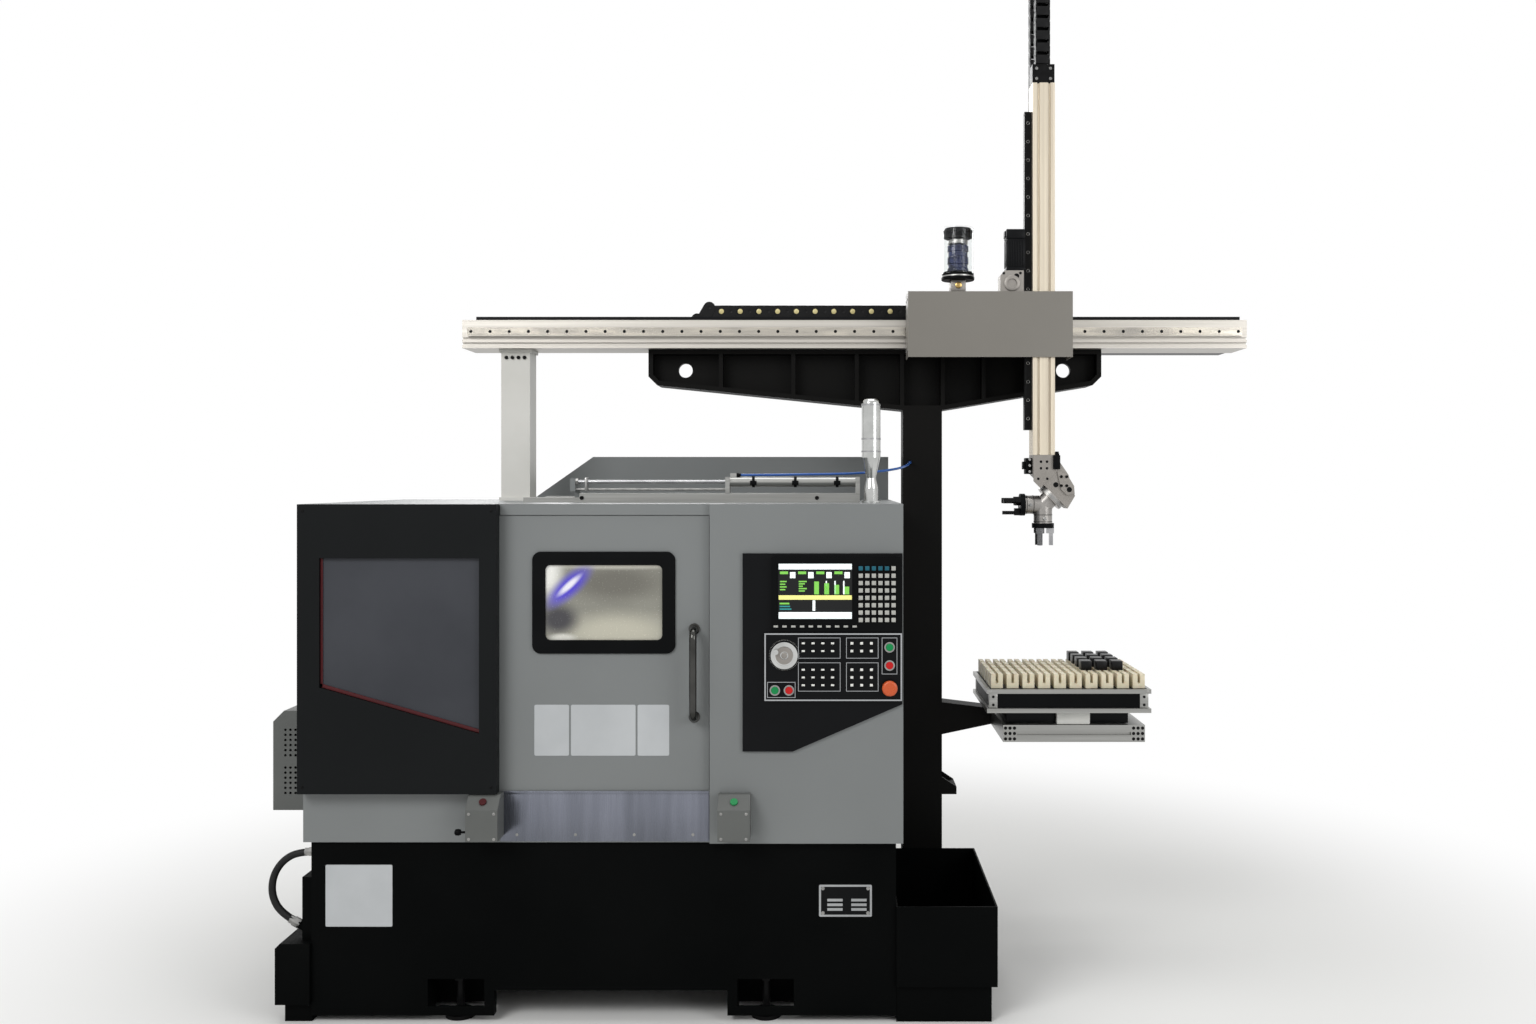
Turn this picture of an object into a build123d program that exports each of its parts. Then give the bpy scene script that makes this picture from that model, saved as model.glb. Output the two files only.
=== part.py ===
"""A slant-bed turning lathe with a sliding door, a control fascia, a gantry loader and a blank tray.

Millimetres, +Z up, +X to the operator's right, +Y towards the rear. The layout is measured from the
middle of the enclosure front at floor level, and each finished piece is moved so that the origin
lies at the bottom centre of the whole machine.
"""

import os
from math import cos, radians, sin, sqrt, tan

from build123d import *

# Driving sizes of the enclosure, the base and the sheet that they are folded from
ENCLOSURE_W = 1800
ENCLOSURE_D = 960
ENCLOSURE_TOP = 1560
SKIRT_TOP = 700
BASE_TOP = 545
BASE_STEP = 20
BASE_D = 1130
BASE_FRONT = 12
BASE_BOTTOM = 20
CABINET_D = 280
SHEET = 4
OVERRUN = 10
RUN_GAP = 0.3
FIT_GAP = 0.1
RUN_SHARE = 0.45

# Spindle line and slanted bed
SPINDLE_Y = 490
SPINDLE_Z = 1010
BED_ANGLE = 30
BED_W = 420
BED_RISE = 170
BED_REAR = 180

# Gantry beam and column, and how far the side cover and the button boxes stand out
BEAM_LEFT = -587
BEAM_RIGHT = 2121
BEAM_BOTTOM = 2087
BEAM_H = 97
BEAM_FRONT = 600
BEAM_D = 180
COLUMN_STEP = 37
COLUMN_FRONT = 650
VENT_OUT = 173
BOX_OUT = 80

ENC_HALF = ENCLOSURE_W / 2
BASE_HALF = ENC_HALF - BASE_STEP
COLUMN_LEFT = ENC_HALF + COLUMN_STEP
FRAME_SHIFT = Location(
    (-(BEAM_RIGHT - ENC_HALF - VENT_OUT) / 2, -(ENCLOSURE_D + CABINET_D - BOX_OUT) / 2, 0)
)

os.makedirs("parts", exist_ok=True)


def save(part, name):
    """Labels a finished piece, moves it to the machine's own origin and writes its STEP file."""
    placed = part.moved(FRAME_SHIFT)
    placed.label = name
    export_step(placed, f"parts/{name}.step")


def front(y):
    """An upright plane that faces the operator, with X across and Z up."""
    return Plane.XZ.offset(-y)


def side(x):
    """An upright plane that faces right, with Y across and Z up."""
    return Plane.YZ.offset(x)


def level(z):
    """A level plane that faces up."""
    return Plane.XY.offset(z)


def block(x_span, y_span, z_span, mode=Mode.ADD):
    """A square-edged block between three pairs of faces."""
    spans = (x_span, y_span, z_span)
    with Locations(tuple((low + high) / 2 for low, high in spans)):
        Box(*(high - low for low, high in spans), mode=mode)


def prism(plane, outline, depth, mode=Mode.ADD):
    """A straight-sided piece of the given outline, as deep as asked along the plane's normal."""
    with BuildSketch(plane) as face:
        with BuildLine():
            Polyline(*outline, close=True)
        make_face()
    extrude(face.sketch, amount=depth, mode=mode)


def turned(plane, centre, diameter, length, mode=Mode.ADD):
    """A round bar or bore that starts on the plane."""
    with BuildSketch(plane) as disc:
        with Locations(centre):
            Circle(diameter / 2)
    extrude(disc.sketch, amount=length, mode=mode)


def cord_tube(points, diameter, name):
    """A tube along straight runs joined by tangent arcs, each as large as its two runs allow."""
    corners = [Vector(*point) for point in points]
    radii = []
    for before, here, after in zip(corners, corners[1:], corners[2:]):
        turn = (here - before).get_angle(after - here)
        shorter = min((here - before).length, (after - here).length)
        radii.append(RUN_SHARE * shorter / tan(radians(turn / 2)))
    with BuildPart() as tube:
        with BuildLine() as path:
            FilletPolyline(*points, radius=radii)
        with BuildSketch(Plane(origin=points[0], z_dir=corners[1] - corners[0])) as section:
            Circle(diameter / 2)
        sweep(section.sketch, path=path.wires()[0])
    length = path.wires()[0].length
    fill_share = tube.part.volume / (section.sketch.area * length)
    whole_radii = [round(radius) for radius in radii]
    print(name, "radii", whole_radii, "length", round(length), round(fill_share, 4))
    return tube.part


# Base casting: hollow block with a foot arch, jack pockets under lugs, and the slanted bed on top
BASE_WALL = 30
ARCH_X = 21
ARCH_W = 702
ARCH_H = 76
POCKET_W = 170
POCKET_H = 110
POCKET_INSET = 30
LUG_D = 110
LUG_T = 34
BED_LEFT = -640
BED_RIGHT = 700
BED_HEEL = 120
WAY_W = 40
WAY_H = 24
WAY_SPREAD = 250
BASE_BACK = BASE_FRONT + BASE_D
BASE_MID_Y = BASE_FRONT + BASE_D / 2
POCKET_TOP = BASE_BOTTOM + POCKET_H
POCKET_SPACING = ARCH_W + 2 * POCKET_INSET + POCKET_W
POCKET_XS = [ARCH_X - POCKET_SPACING / 2, ARCH_X + POCKET_SPACING / 2]
BED_BACK_Y = ENCLOSURE_D - BED_REAR
BED_COS = cos(radians(BED_ANGLE))
BED_SIN = sin(radians(BED_ANGLE))
BED_FOOT_Y = BED_BACK_Y - BED_W * BED_COS
BED_FOOT_Z = BASE_TOP + BED_RISE
BED_TOP = BED_FOOT_Z + BED_W * BED_SIN
BED_MID = ((BED_FOOT_Y + BED_BACK_Y) / 2, (BED_FOOT_Z + BED_TOP) / 2)
bed_plane = Plane(origin=(0, *BED_MID), x_dir=(1, 0, 0), z_dir=(0, -BED_SIN, BED_COS))
with BuildPart() as base_frame:
    block((-BASE_HALF, BASE_HALF), (BASE_FRONT, BASE_BACK), (BASE_BOTTOM, BASE_TOP))
    block(
        (BASE_WALL - BASE_HALF, BASE_HALF - BASE_WALL),
        (BASE_FRONT + BASE_WALL, BASE_BACK - BASE_WALL),
        (BASE_BOTTOM - OVERRUN, BASE_TOP - BASE_WALL),
        Mode.SUBTRACT,
    )
    cut_y = (BASE_FRONT - OVERRUN, BASE_BACK + OVERRUN)
    arch_x = (ARCH_X - ARCH_W / 2, ARCH_X + ARCH_W / 2)
    block(arch_x, cut_y, (BASE_BOTTOM - OVERRUN, BASE_BOTTOM + ARCH_H), Mode.SUBTRACT)
    for pocket_x in POCKET_XS:
        pocket_span = (pocket_x - POCKET_W / 2, pocket_x + POCKET_W / 2)
        block(pocket_span, cut_y, (BASE_BOTTOM - OVERRUN, POCKET_TOP), Mode.SUBTRACT)
        for lug_y in ((BASE_FRONT, BASE_FRONT + LUG_D), (BASE_BACK - LUG_D, BASE_BACK)):
            block(pocket_span, lug_y, (POCKET_TOP, POCKET_TOP + LUG_T))
    bed_outline = [
        (BED_FOOT_Y, BASE_TOP - BASE_WALL),
        (BED_FOOT_Y, BED_FOOT_Z),
        (BED_BACK_Y, BED_TOP),
        (BED_BACK_Y + BED_HEEL, BASE_TOP - BASE_WALL),
    ]
    prism(side(BED_LEFT), bed_outline, BED_RIGHT - BED_LEFT)
    with BuildSketch(bed_plane):
        with Locations(((BED_LEFT + BED_RIGHT) / 2, 0)):
            with GridLocations(0, WAY_SPREAD, 1, 2):
                Rectangle(BED_RIGHT - BED_LEFT, WAY_W)
    extrude(amount=WAY_H)
save(base_frame.part, "base_frame")

# Jack feet: a chamfered pad, its bolt, and the nut that bears on the lug in each pocket
PAD_D = 90
PAD_H = 18
BOLT_D = 24
NUT_D = 46
NUT_H = 18
with BuildPart() as levelling_feet:
    with BuildSketch(level(0)):
        with Locations((ARCH_X, BASE_MID_Y)):
            with GridLocations(POCKET_SPACING, BASE_D - LUG_D, 2, 2):
                Circle(PAD_D / 2)
    extrude(amount=PAD_H)
    chamfer(levelling_feet.edges().group_by(Axis.Z)[-1], PAD_H / 3)
    with BuildSketch(level(PAD_H)):
        with Locations((ARCH_X, BASE_MID_Y)):
            with GridLocations(POCKET_SPACING, BASE_D - LUG_D, 2, 2):
                Circle(BOLT_D / 2)
    extrude(amount=POCKET_TOP - PAD_H)
    with BuildSketch(level(POCKET_TOP)):
        with Locations((ARCH_X, BASE_MID_Y)):
            with GridLocations(POCKET_SPACING, BASE_D - LUG_D, 2, 2):
                RegularPolygon(NUT_D / 2, 6)
    extrude(amount=-NUT_H)
save(levelling_feet.part, "levelling_feet")

# Coolant tank: a chamfered box that stands out at the left of the base, on a lower plinth
TANK_OUT = 104
TANK_D = 620
TANK_FRONT = -2
TANK_TOP = 240
TANK_BOTTOM = 57
TANK_LIP = 14
TANK_INSET = 22
TANK_GAP = 0.5
TANK_RIGHT = -BASE_HALF - TANK_GAP
TANK_LEFT = TANK_RIGHT - TANK_OUT
with BuildPart() as coolant_tank:
    block((TANK_LEFT, TANK_RIGHT), (TANK_FRONT, TANK_FRONT + TANK_D), (TANK_BOTTOM, TANK_TOP))
    block(
        (TANK_LEFT + TANK_INSET, TANK_RIGHT),
        (TANK_FRONT + TANK_INSET, TANK_FRONT + TANK_D - TANK_INSET),
        (0, TANK_BOTTOM),
    )
    chamfer(coolant_tank.edges().filter_by(Axis.Y).group_by(Axis.Z)[-1].sort_by(Axis.X)[0], TANK_LIP)
save(coolant_tank.part, "coolant_tank")

# Hydraulic hose: out of the side of the base, round in a hanging loop and down to the pump
HOSE_D = 22
HOSE_Y = 80
HOSE_STEPS = [
    (0, 255),
    (64, 255),
    (115, 227),
    (145, 177),
    (147, 117),
    (116, 64),
    (64, 35),
]
HOSE_ROUTE = [(-BASE_HALF - out, HOSE_Y, TANK_TOP + rise) for out, rise in HOSE_STEPS]
save(cord_tube(HOSE_ROUTE, HOSE_D, "hydraulic_hose"), "hydraulic_hose")

# Coolant pump: the valve block with its angled hose fitting, and the round motor behind it
VALVE_W = 36
VALVE_D = 90
VALVE_H = 190
FITTING_D = 30
FITTING_L = 42
MOTOR_D = 84
MOTOR_H = 170
MOTOR_CAP_D = 70
MOTOR_CAP_H = 26
MOTOR_BACK = 250
HOSE_END = HOSE_ROUTE[-1]
hose_plane = Plane(origin=HOSE_END, z_dir=Vector(*HOSE_END) - Vector(*HOSE_ROUTE[-2]))
with BuildPart() as coolant_pump:
    block(
        (TANK_RIGHT - VALVE_W, TANK_RIGHT),
        (HOSE_END[1] - VALVE_D / 2, HOSE_END[1] + VALVE_D / 2),
        (TANK_TOP, TANK_TOP + VALVE_H),
    )
    with BuildSketch(hose_plane):
        RegularPolygon(FITTING_D / 2, 6)
    extrude(amount=FITTING_L)
    motor_at = ((TANK_LEFT + TANK_RIGHT) / 2, HOSE_END[1] + MOTOR_BACK)
    turned(level(TANK_TOP), motor_at, MOTOR_D, MOTOR_H)
    turned(level(TANK_TOP + MOTOR_H), motor_at, MOTOR_CAP_D, MOTOR_CAP_H)
save(coolant_pump.part, "coolant_pump")

# Chip bin at the right: an open sheet box on a narrower foot
BIN_W = 304
BIN_CLEAR = 10
BIN_D = COLUMN_FRONT - BIN_CLEAR
BIN_TOP = 351
BIN_WALL = 5
BIN_FOOT_H = 110
BIN_FOOT_INSET = 16
BIN_LEFT = BASE_HALF + TANK_GAP
BIN_RIGHT = BIN_LEFT + BIN_W
with BuildPart() as chip_bin:
    block((BIN_LEFT, BIN_RIGHT), (0, BIN_D), (BIN_FOOT_H, BIN_TOP))
    block(
        (BIN_LEFT, BIN_RIGHT - BIN_FOOT_INSET),
        (BIN_FOOT_INSET, BIN_D - BIN_FOOT_INSET),
        (0, BIN_FOOT_H),
    )
    block(
        (BIN_LEFT + BIN_WALL, BIN_RIGHT - BIN_WALL),
        (BIN_WALL, BIN_D - BIN_WALL),
        (BIN_FOOT_H + BIN_WALL, BIN_TOP + OVERRUN),
        Mode.SUBTRACT,
    )
save(chip_bin.part, "chip_bin")

# Enclosure front: door opening, door channel, and where the cover and the panel beside it end
DOOR_OPEN_LEFT = -300
DOOR_OPEN_RIGHT = 300
DOOR_OPEN_TOP = 1470
DOOR_TOP = 1525
DOOR_T = 40
DOOR_FRONT = 4
DOOR_CLEAR = 2
COVER_RIGHT = -309
PANEL_LEFT = 321
PANEL_T = 16
GUIDE_T = 6
GUIDE_DEEP = 16
WALL_Y = DOOR_FRONT + DOOR_T + DOOR_CLEAR * 4
INNER_X = (SHEET - ENC_HALF, ENC_HALF - SHEET)

# Roof opening, and the rear cabinet with its sloped left shoulder
ROOF_HOLE_X = (-290, 90)
ROOF_HOLE_HALF = 140
ROOF_HOLE_Y = (SPINDLE_Y - ROOF_HOLE_HALF, SPINDLE_Y + ROOF_HOLE_HALF)
CABINET_LEFT = -423
CABINET_BOTTOM = 620
CABINET_TOP = 1718
CABINET_SLOPE = 225
with BuildPart() as enclosure_shell:
    block((-ENC_HALF, ENC_HALF), (0, ENCLOSURE_D), (BASE_TOP, ENCLOSURE_TOP))
    inner_y = (WALL_Y + SHEET, ENCLOSURE_D - SHEET)
    block(INNER_X, inner_y, (BASE_TOP - OVERRUN, ENCLOSURE_TOP - SHEET), Mode.SUBTRACT)
    block(INNER_X, (-OVERRUN, WALL_Y), (SKIRT_TOP, ENCLOSURE_TOP - SHEET), Mode.SUBTRACT)
    block(INNER_X, (SHEET, WALL_Y), (BASE_TOP - OVERRUN, SKIRT_TOP - SHEET), Mode.SUBTRACT)
    block(
        (DOOR_OPEN_LEFT, DOOR_OPEN_RIGHT),
        (WALL_Y - OVERRUN, WALL_Y + SHEET + OVERRUN),
        (SKIRT_TOP, DOOR_OPEN_TOP),
        Mode.SUBTRACT,
    )
    block((COVER_RIGHT, PANEL_LEFT), (0, DOOR_FRONT), (DOOR_TOP + DOOR_CLEAR, ENCLOSURE_TOP - SHEET))
    guide_mid = DOOR_FRONT + DOOR_T / 2
    block(
        (SHEET - ENC_HALF, PANEL_LEFT),
        (guide_mid - GUIDE_T / 2, guide_mid + GUIDE_T / 2),
        (DOOR_TOP - GUIDE_DEEP, ENCLOSURE_TOP - SHEET),
    )
    roof_cut = (ENCLOSURE_TOP - SHEET - OVERRUN, ENCLOSURE_TOP + OVERRUN)
    block(ROOF_HOLE_X, ROOF_HOLE_Y, roof_cut, Mode.SUBTRACT)
    cabinet_outline = [
        (CABINET_LEFT, CABINET_BOTTOM),
        (CABINET_LEFT, ENCLOSURE_TOP),
        (CABINET_LEFT + CABINET_SLOPE, CABINET_TOP),
        (ENC_HALF, CABINET_TOP),
        (ENC_HALF, CABINET_BOTTOM),
    ]
    prism(front(ENCLOSURE_D + CABINET_D), cabinet_outline, CABINET_D)
save(enclosure_shell.part, "enclosure_shell")

# Left front cover: a deep folded pan with a sunk pane whose lower edge slants
COVER_T = 48
COVER_GAP = 10
INSET_LEFT = -834
INSET_RIGHT = -360
INSET_TOP = 1400
INSET_LOW_LEFT = 1016
INSET_LOW_RIGHT = 879
INSET_DEEP = 14
with BuildPart() as left_front_cover:
    cover_x = (-ENC_HALF, COVER_RIGHT)
    block(cover_x, (-COVER_T, 0), (SKIRT_TOP, ENCLOSURE_TOP))
    block(
        (SHEET - ENC_HALF, COVER_RIGHT - SHEET),
        (SHEET - COVER_T, OVERRUN),
        (SKIRT_TOP + SHEET, ENCLOSURE_TOP - SHEET),
        Mode.SUBTRACT,
    )
    block((COVER_RIGHT - SHEET, COVER_RIGHT), (-COVER_GAP, 0), (SKIRT_TOP, ENCLOSURE_TOP), Mode.SUBTRACT)
    inset_outline = [
        (INSET_LEFT, INSET_TOP),
        (INSET_RIGHT, INSET_TOP),
        (INSET_RIGHT, INSET_LOW_RIGHT),
        (INSET_LEFT, INSET_LOW_LEFT),
    ]
    with BuildSketch(front(INSET_DEEP + SHEET - COVER_T)):
        with BuildLine():
            Polyline(*inset_outline, close=True)
        make_face()
        offset(amount=SHEET, kind=Kind.INTERSECTION)
    extrude(amount=INSET_DEEP + SHEET)
    prism(front(INSET_DEEP - COVER_T), inset_outline, INSET_DEEP + OVERRUN, Mode.SUBTRACT)
save(left_front_cover.part, "left_front_cover")

# Right front panel: one folded sheet pan from the roof down to the base
with BuildPart() as right_front_panel:
    block((PANEL_LEFT, ENC_HALF), (-PANEL_T, 0), (BASE_TOP, ENCLOSURE_TOP))
    block(
        (PANEL_LEFT + SHEET, ENC_HALF - SHEET),
        (SHEET - PANEL_T, OVERRUN),
        (BASE_TOP + SHEET, ENCLOSURE_TOP - SHEET),
        Mode.SUBTRACT,
    )
save(right_front_panel.part, "right_front_panel")

# Side vent cover: a folded box on the left wall with two patches of round air holes in its front
VENT_FRONT = 200
VENT_D = 420
VENT_BOTTOM = 592
VENT_TOP = 905
VENT_SLOPE = 34
VENT_HOLE_D = 9
VENT_PITCH = 16
VENT_ROWS = 6
VENT_COLUMNS = 7
VENT_HEIGHT_SHARES = (0.3, 0.68)
VENT_LEFT = -ENC_HALF - VENT_OUT
with BuildPart() as side_vent_cover:
    vent_outline = [
        (VENT_LEFT, VENT_BOTTOM),
        (VENT_LEFT, VENT_TOP - VENT_SLOPE),
        (VENT_LEFT + VENT_SLOPE, VENT_TOP),
        (-ENC_HALF, VENT_TOP),
        (-ENC_HALF, VENT_BOTTOM),
    ]
    prism(front(VENT_FRONT + VENT_D), vent_outline, VENT_D)
    inner_vent = [
        (VENT_LEFT + SHEET, VENT_BOTTOM + SHEET),
        (VENT_LEFT + SHEET, VENT_TOP - VENT_SLOPE - SHEET / 2),
        (VENT_LEFT + VENT_SLOPE + SHEET / 2, VENT_TOP - SHEET),
        (OVERRUN - ENC_HALF, VENT_TOP - SHEET),
        (OVERRUN - ENC_HALF, VENT_BOTTOM + SHEET),
    ]
    prism(front(VENT_FRONT + VENT_D - SHEET), inner_vent, VENT_D - 2 * SHEET, Mode.SUBTRACT)
    with BuildSketch(front(VENT_FRONT + SHEET + OVERRUN)):
        for height_share in VENT_HEIGHT_SHARES:
            vent_z = VENT_BOTTOM + height_share * (VENT_TOP - VENT_BOTTOM)
            with Locations((-ENC_HALF - VENT_OUT / 2, vent_z)):
                with GridLocations(VENT_PITCH, VENT_PITCH, VENT_COLUMNS, VENT_ROWS):
                    RegularPolygon(VENT_HOLE_D / 2, 6)
    extrude(amount=SHEET + 2 * OVERRUN, mode=Mode.SUBTRACT)
save(side_vent_cover.part, "side_vent_cover")

# Sliding door: a folded pan with a stiff ring about its window, grooved on top for the guide strip
DOOR_LEFT = -345
DOOR_RIGHT = 318
DOOR_RIM = 30
WINDOW_X = 2
WINDOW_Z = 1264
FRAME_W = 429
FRAME_H = 306
FRAME_R = 26
FRAME_T = 8
GLASS_W = 351
GLASS_H = 225
GLASS_R = 16
GLASS_T = 6
GLASS_LAP = 14
DOOR_BOTTOM = SKIRT_TOP + RUN_GAP
DOOR_BACK = DOOR_FRONT + DOOR_T
PANE_W = GLASS_W + 2 * GLASS_LAP
PANE_H = GLASS_H + 2 * GLASS_LAP
with BuildPart() as door:
    block((DOOR_LEFT, DOOR_RIGHT), (DOOR_FRONT, DOOR_BACK), (DOOR_BOTTOM, DOOR_TOP))
    with BuildSketch(front(DOOR_BACK)):
        with Locations(((DOOR_LEFT + DOOR_RIGHT) / 2, (DOOR_BOTTOM + DOOR_TOP) / 2)):
            Rectangle(DOOR_RIGHT - DOOR_LEFT - 2 * DOOR_RIM, DOOR_TOP - DOOR_BOTTOM - 2 * DOOR_RIM)
        with Locations((WINDOW_X, WINDOW_Z)):
            Rectangle(FRAME_W, FRAME_H, mode=Mode.SUBTRACT)
    extrude(amount=DOOR_T - SHEET, mode=Mode.SUBTRACT)
    with BuildSketch(front(DOOR_BACK + OVERRUN)):
        with Locations((WINDOW_X, WINDOW_Z)):
            RectangleRounded(PANE_W + 2 * FIT_GAP, PANE_H + 2 * FIT_GAP, GLASS_R)
    extrude(amount=DOOR_T + 2 * OVERRUN, mode=Mode.SUBTRACT)
    groove = GUIDE_T / 2 + DOOR_CLEAR / 2
    block(
        (DOOR_LEFT - OVERRUN, DOOR_RIGHT + OVERRUN),
        (guide_mid - groove, guide_mid + groove),
        (DOOR_TOP - GUIDE_DEEP - DOOR_CLEAR, DOOR_TOP + OVERRUN),
        Mode.SUBTRACT,
    )
save(door.part, "door")

with BuildPart() as door_window_frame:
    with BuildSketch(front(DOOR_FRONT)):
        with Locations((WINDOW_X, WINDOW_Z)):
            RectangleRounded(FRAME_W, FRAME_H, FRAME_R)
            RectangleRounded(GLASS_W, GLASS_H, GLASS_R, mode=Mode.SUBTRACT)
    extrude(amount=FRAME_T)
    chamfer(door_window_frame.edges().filter_by(GeomType.LINE).group_by(Axis.Y)[0], FRAME_T / 4)
save(door_window_frame.part, "door_window_frame")

with BuildPart() as door_window:
    with BuildSketch(front(DOOR_FRONT + GLASS_T)):
        with Locations((WINDOW_X, WINDOW_Z)):
            RectangleRounded(PANE_W, PANE_H, GLASS_R)
    extrude(amount=GLASS_T)
save(door_window.part, "door_window")

# Door handle: a bent tube that stands off the door on two turned roses
HANDLE_X = 274
HANDLE_Z = 1053
HANDLE_L = 264
HANDLE_D = 22
HANDLE_OUT = 50
HANDLE_BEND = 30
ROSE_D = 34
ROSE_T = 6
with BuildPart() as door_handle:
    with BuildLine() as handle_path:
        FilletPolyline(
            (HANDLE_X, DOOR_FRONT - ROSE_T, HANDLE_Z - HANDLE_L / 2),
            (HANDLE_X, DOOR_FRONT - HANDLE_OUT, HANDLE_Z - HANDLE_L / 2),
            (HANDLE_X, DOOR_FRONT - HANDLE_OUT, HANDLE_Z + HANDLE_L / 2),
            (HANDLE_X, DOOR_FRONT - ROSE_T, HANDLE_Z + HANDLE_L / 2),
            radius=HANDLE_BEND,
        )
    with BuildSketch(front(DOOR_FRONT - ROSE_T)):
        with Locations((HANDLE_X, HANDLE_Z - HANDLE_L / 2)):
            Circle(HANDLE_D / 2)
    sweep(path=handle_path.wires()[0])
    with BuildSketch(front(DOOR_FRONT)):
        with Locations((HANDLE_X, HANDLE_Z)):
            with GridLocations(0, HANDLE_L, 1, 2):
                Circle(ROSE_D / 2)
    extrude(amount=ROSE_T)
save(door_handle.part, "door_handle")

# Control fascia: a black sheet with a slanted lower right edge, laid on the right front panel
FASCIA_LEFT = 420
FASCIA_RIGHT = 897
FASCIA_TOP = 1413
FASCIA_BOTTOM = 822
FASCIA_KNEE = 570
FASCIA_LOW_RIGHT = 963
FASCIA_T = 8
FASCIA_FACE = -PANEL_T - FASCIA_T
with BuildPart() as control_fascia:
    fascia_outline = [
        (FASCIA_LEFT, FASCIA_BOTTOM),
        (FASCIA_LEFT, FASCIA_TOP),
        (FASCIA_RIGHT, FASCIA_TOP),
        (FASCIA_RIGHT, FASCIA_LOW_RIGHT),
        (FASCIA_KNEE, FASCIA_BOTTOM),
    ]
    prism(front(-PANEL_T), fascia_outline, FASCIA_T)
save(control_fascia.part, "control_fascia")

# Control unit: a moulded bezel with a sunk screen, ten soft keys below it and a key block beside it
UNIT_LEFT = 507
UNIT_RIGHT = 891
UNIT_BOTTOM = 1182
UNIT_TOP = 1404
UNIT_T = 14
UNIT_R = 6
SCREEN_X = 637
SCREEN_Z = 1301
SCREEN_W = 219
SCREEN_H = 165
SCREEN_T = 4
SCREEN_DEEP = 7
KEY_PAD_X = 821
KEY_PAD_Z = 1293
KEY_PITCH_X = 19.5
KEY_PITCH_Z = 21.9
KEY_W = 14.4
KEY_T = 3
KEY_COLUMNS = 6
KEY_ROWS = 8
SOFT_KEYS = 10
SOFT_KEY_Z = 1197
SOFT_KEY_PITCH = 22
SOFT_KEY_H = 10
UNIT_FACE = FASCIA_FACE - UNIT_T
with BuildPart() as cnc_unit:
    with BuildSketch(front(FASCIA_FACE)):
        with Locations(((UNIT_LEFT + UNIT_RIGHT) / 2, (UNIT_BOTTOM + UNIT_TOP) / 2)):
            RectangleRounded(UNIT_RIGHT - UNIT_LEFT, UNIT_TOP - UNIT_BOTTOM, UNIT_R)
    extrude(amount=UNIT_T)
    with BuildSketch(front(UNIT_FACE + SCREEN_DEEP)):
        with Locations((SCREEN_X, SCREEN_Z)):
            Rectangle(SCREEN_W + 2 * FIT_GAP, SCREEN_H + 2 * FIT_GAP)
    extrude(amount=SCREEN_DEEP + OVERRUN, mode=Mode.SUBTRACT)
    with BuildSketch(front(UNIT_FACE)):
        with Locations((KEY_PAD_X, KEY_PAD_Z)):
            with GridLocations(KEY_PITCH_X, KEY_PITCH_Z, KEY_COLUMNS, KEY_ROWS):
                Rectangle(KEY_W, KEY_W)
        with Locations((SCREEN_X, SOFT_KEY_Z)):
            with GridLocations(SOFT_KEY_PITCH, 0, SOFT_KEYS, 1):
                Rectangle(KEY_W, SOFT_KEY_H)
    extrude(amount=KEY_T)
save(cnc_unit.part, "cnc_unit")

with BuildPart() as display_screen:
    with BuildSketch(front(UNIT_FACE + SCREEN_DEEP)):
        with Locations((SCREEN_X, SCREEN_Z)):
            Rectangle(SCREEN_W, SCREEN_H)
    extrude(amount=SCREEN_T)
save(display_screen.part, "display_screen")

# Operator panel: a plate with a raised rim, four key blocks, button collars and the handwheel seat
DESK_LEFT = 486
DESK_RIGHT = 895
DESK_BOTTOM = 975
DESK_TOP = 1176
DESK_T = 10
DESK_RIM = 4
DESK_RIM_T = 2
DESK_KEY = 10.5
DESK_KEY_T = 3
DESK_KEY_PITCH_X = 29
DESK_KEY_PITCH_Z = 23
DESK_BLOCKS = [
    (645, 1135),
    (775, 1135),
    (645, 1045),
    (775, 1045),
]
DESK_COLUMNS = [4, 3, 4, 3]
DESK_ROWS = [2, 2, 3, 3]
WHEEL_AT = (545, 1111)
WHEEL_D = 80
CAP_D = 22
COLLAR_D = 30
COLLAR_T = 6
STOP_COLLAR_D = 38
BUTTON_DEEP = 8
START_AT = (858, 1135)
HOLD_AT = (858, 1081)
STOP_AT = (858, 1014)
POWER_ON_AT = (517, 1007)
POWER_OFF_AT = (559, 1007)
SMALL_BUTTONS = [START_AT, HOLD_AT, POWER_ON_AT, POWER_OFF_AT]
STEM_D = 16
WHEEL_STEM_D = 24
DESK_FACE = FASCIA_FACE - DESK_T
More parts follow.
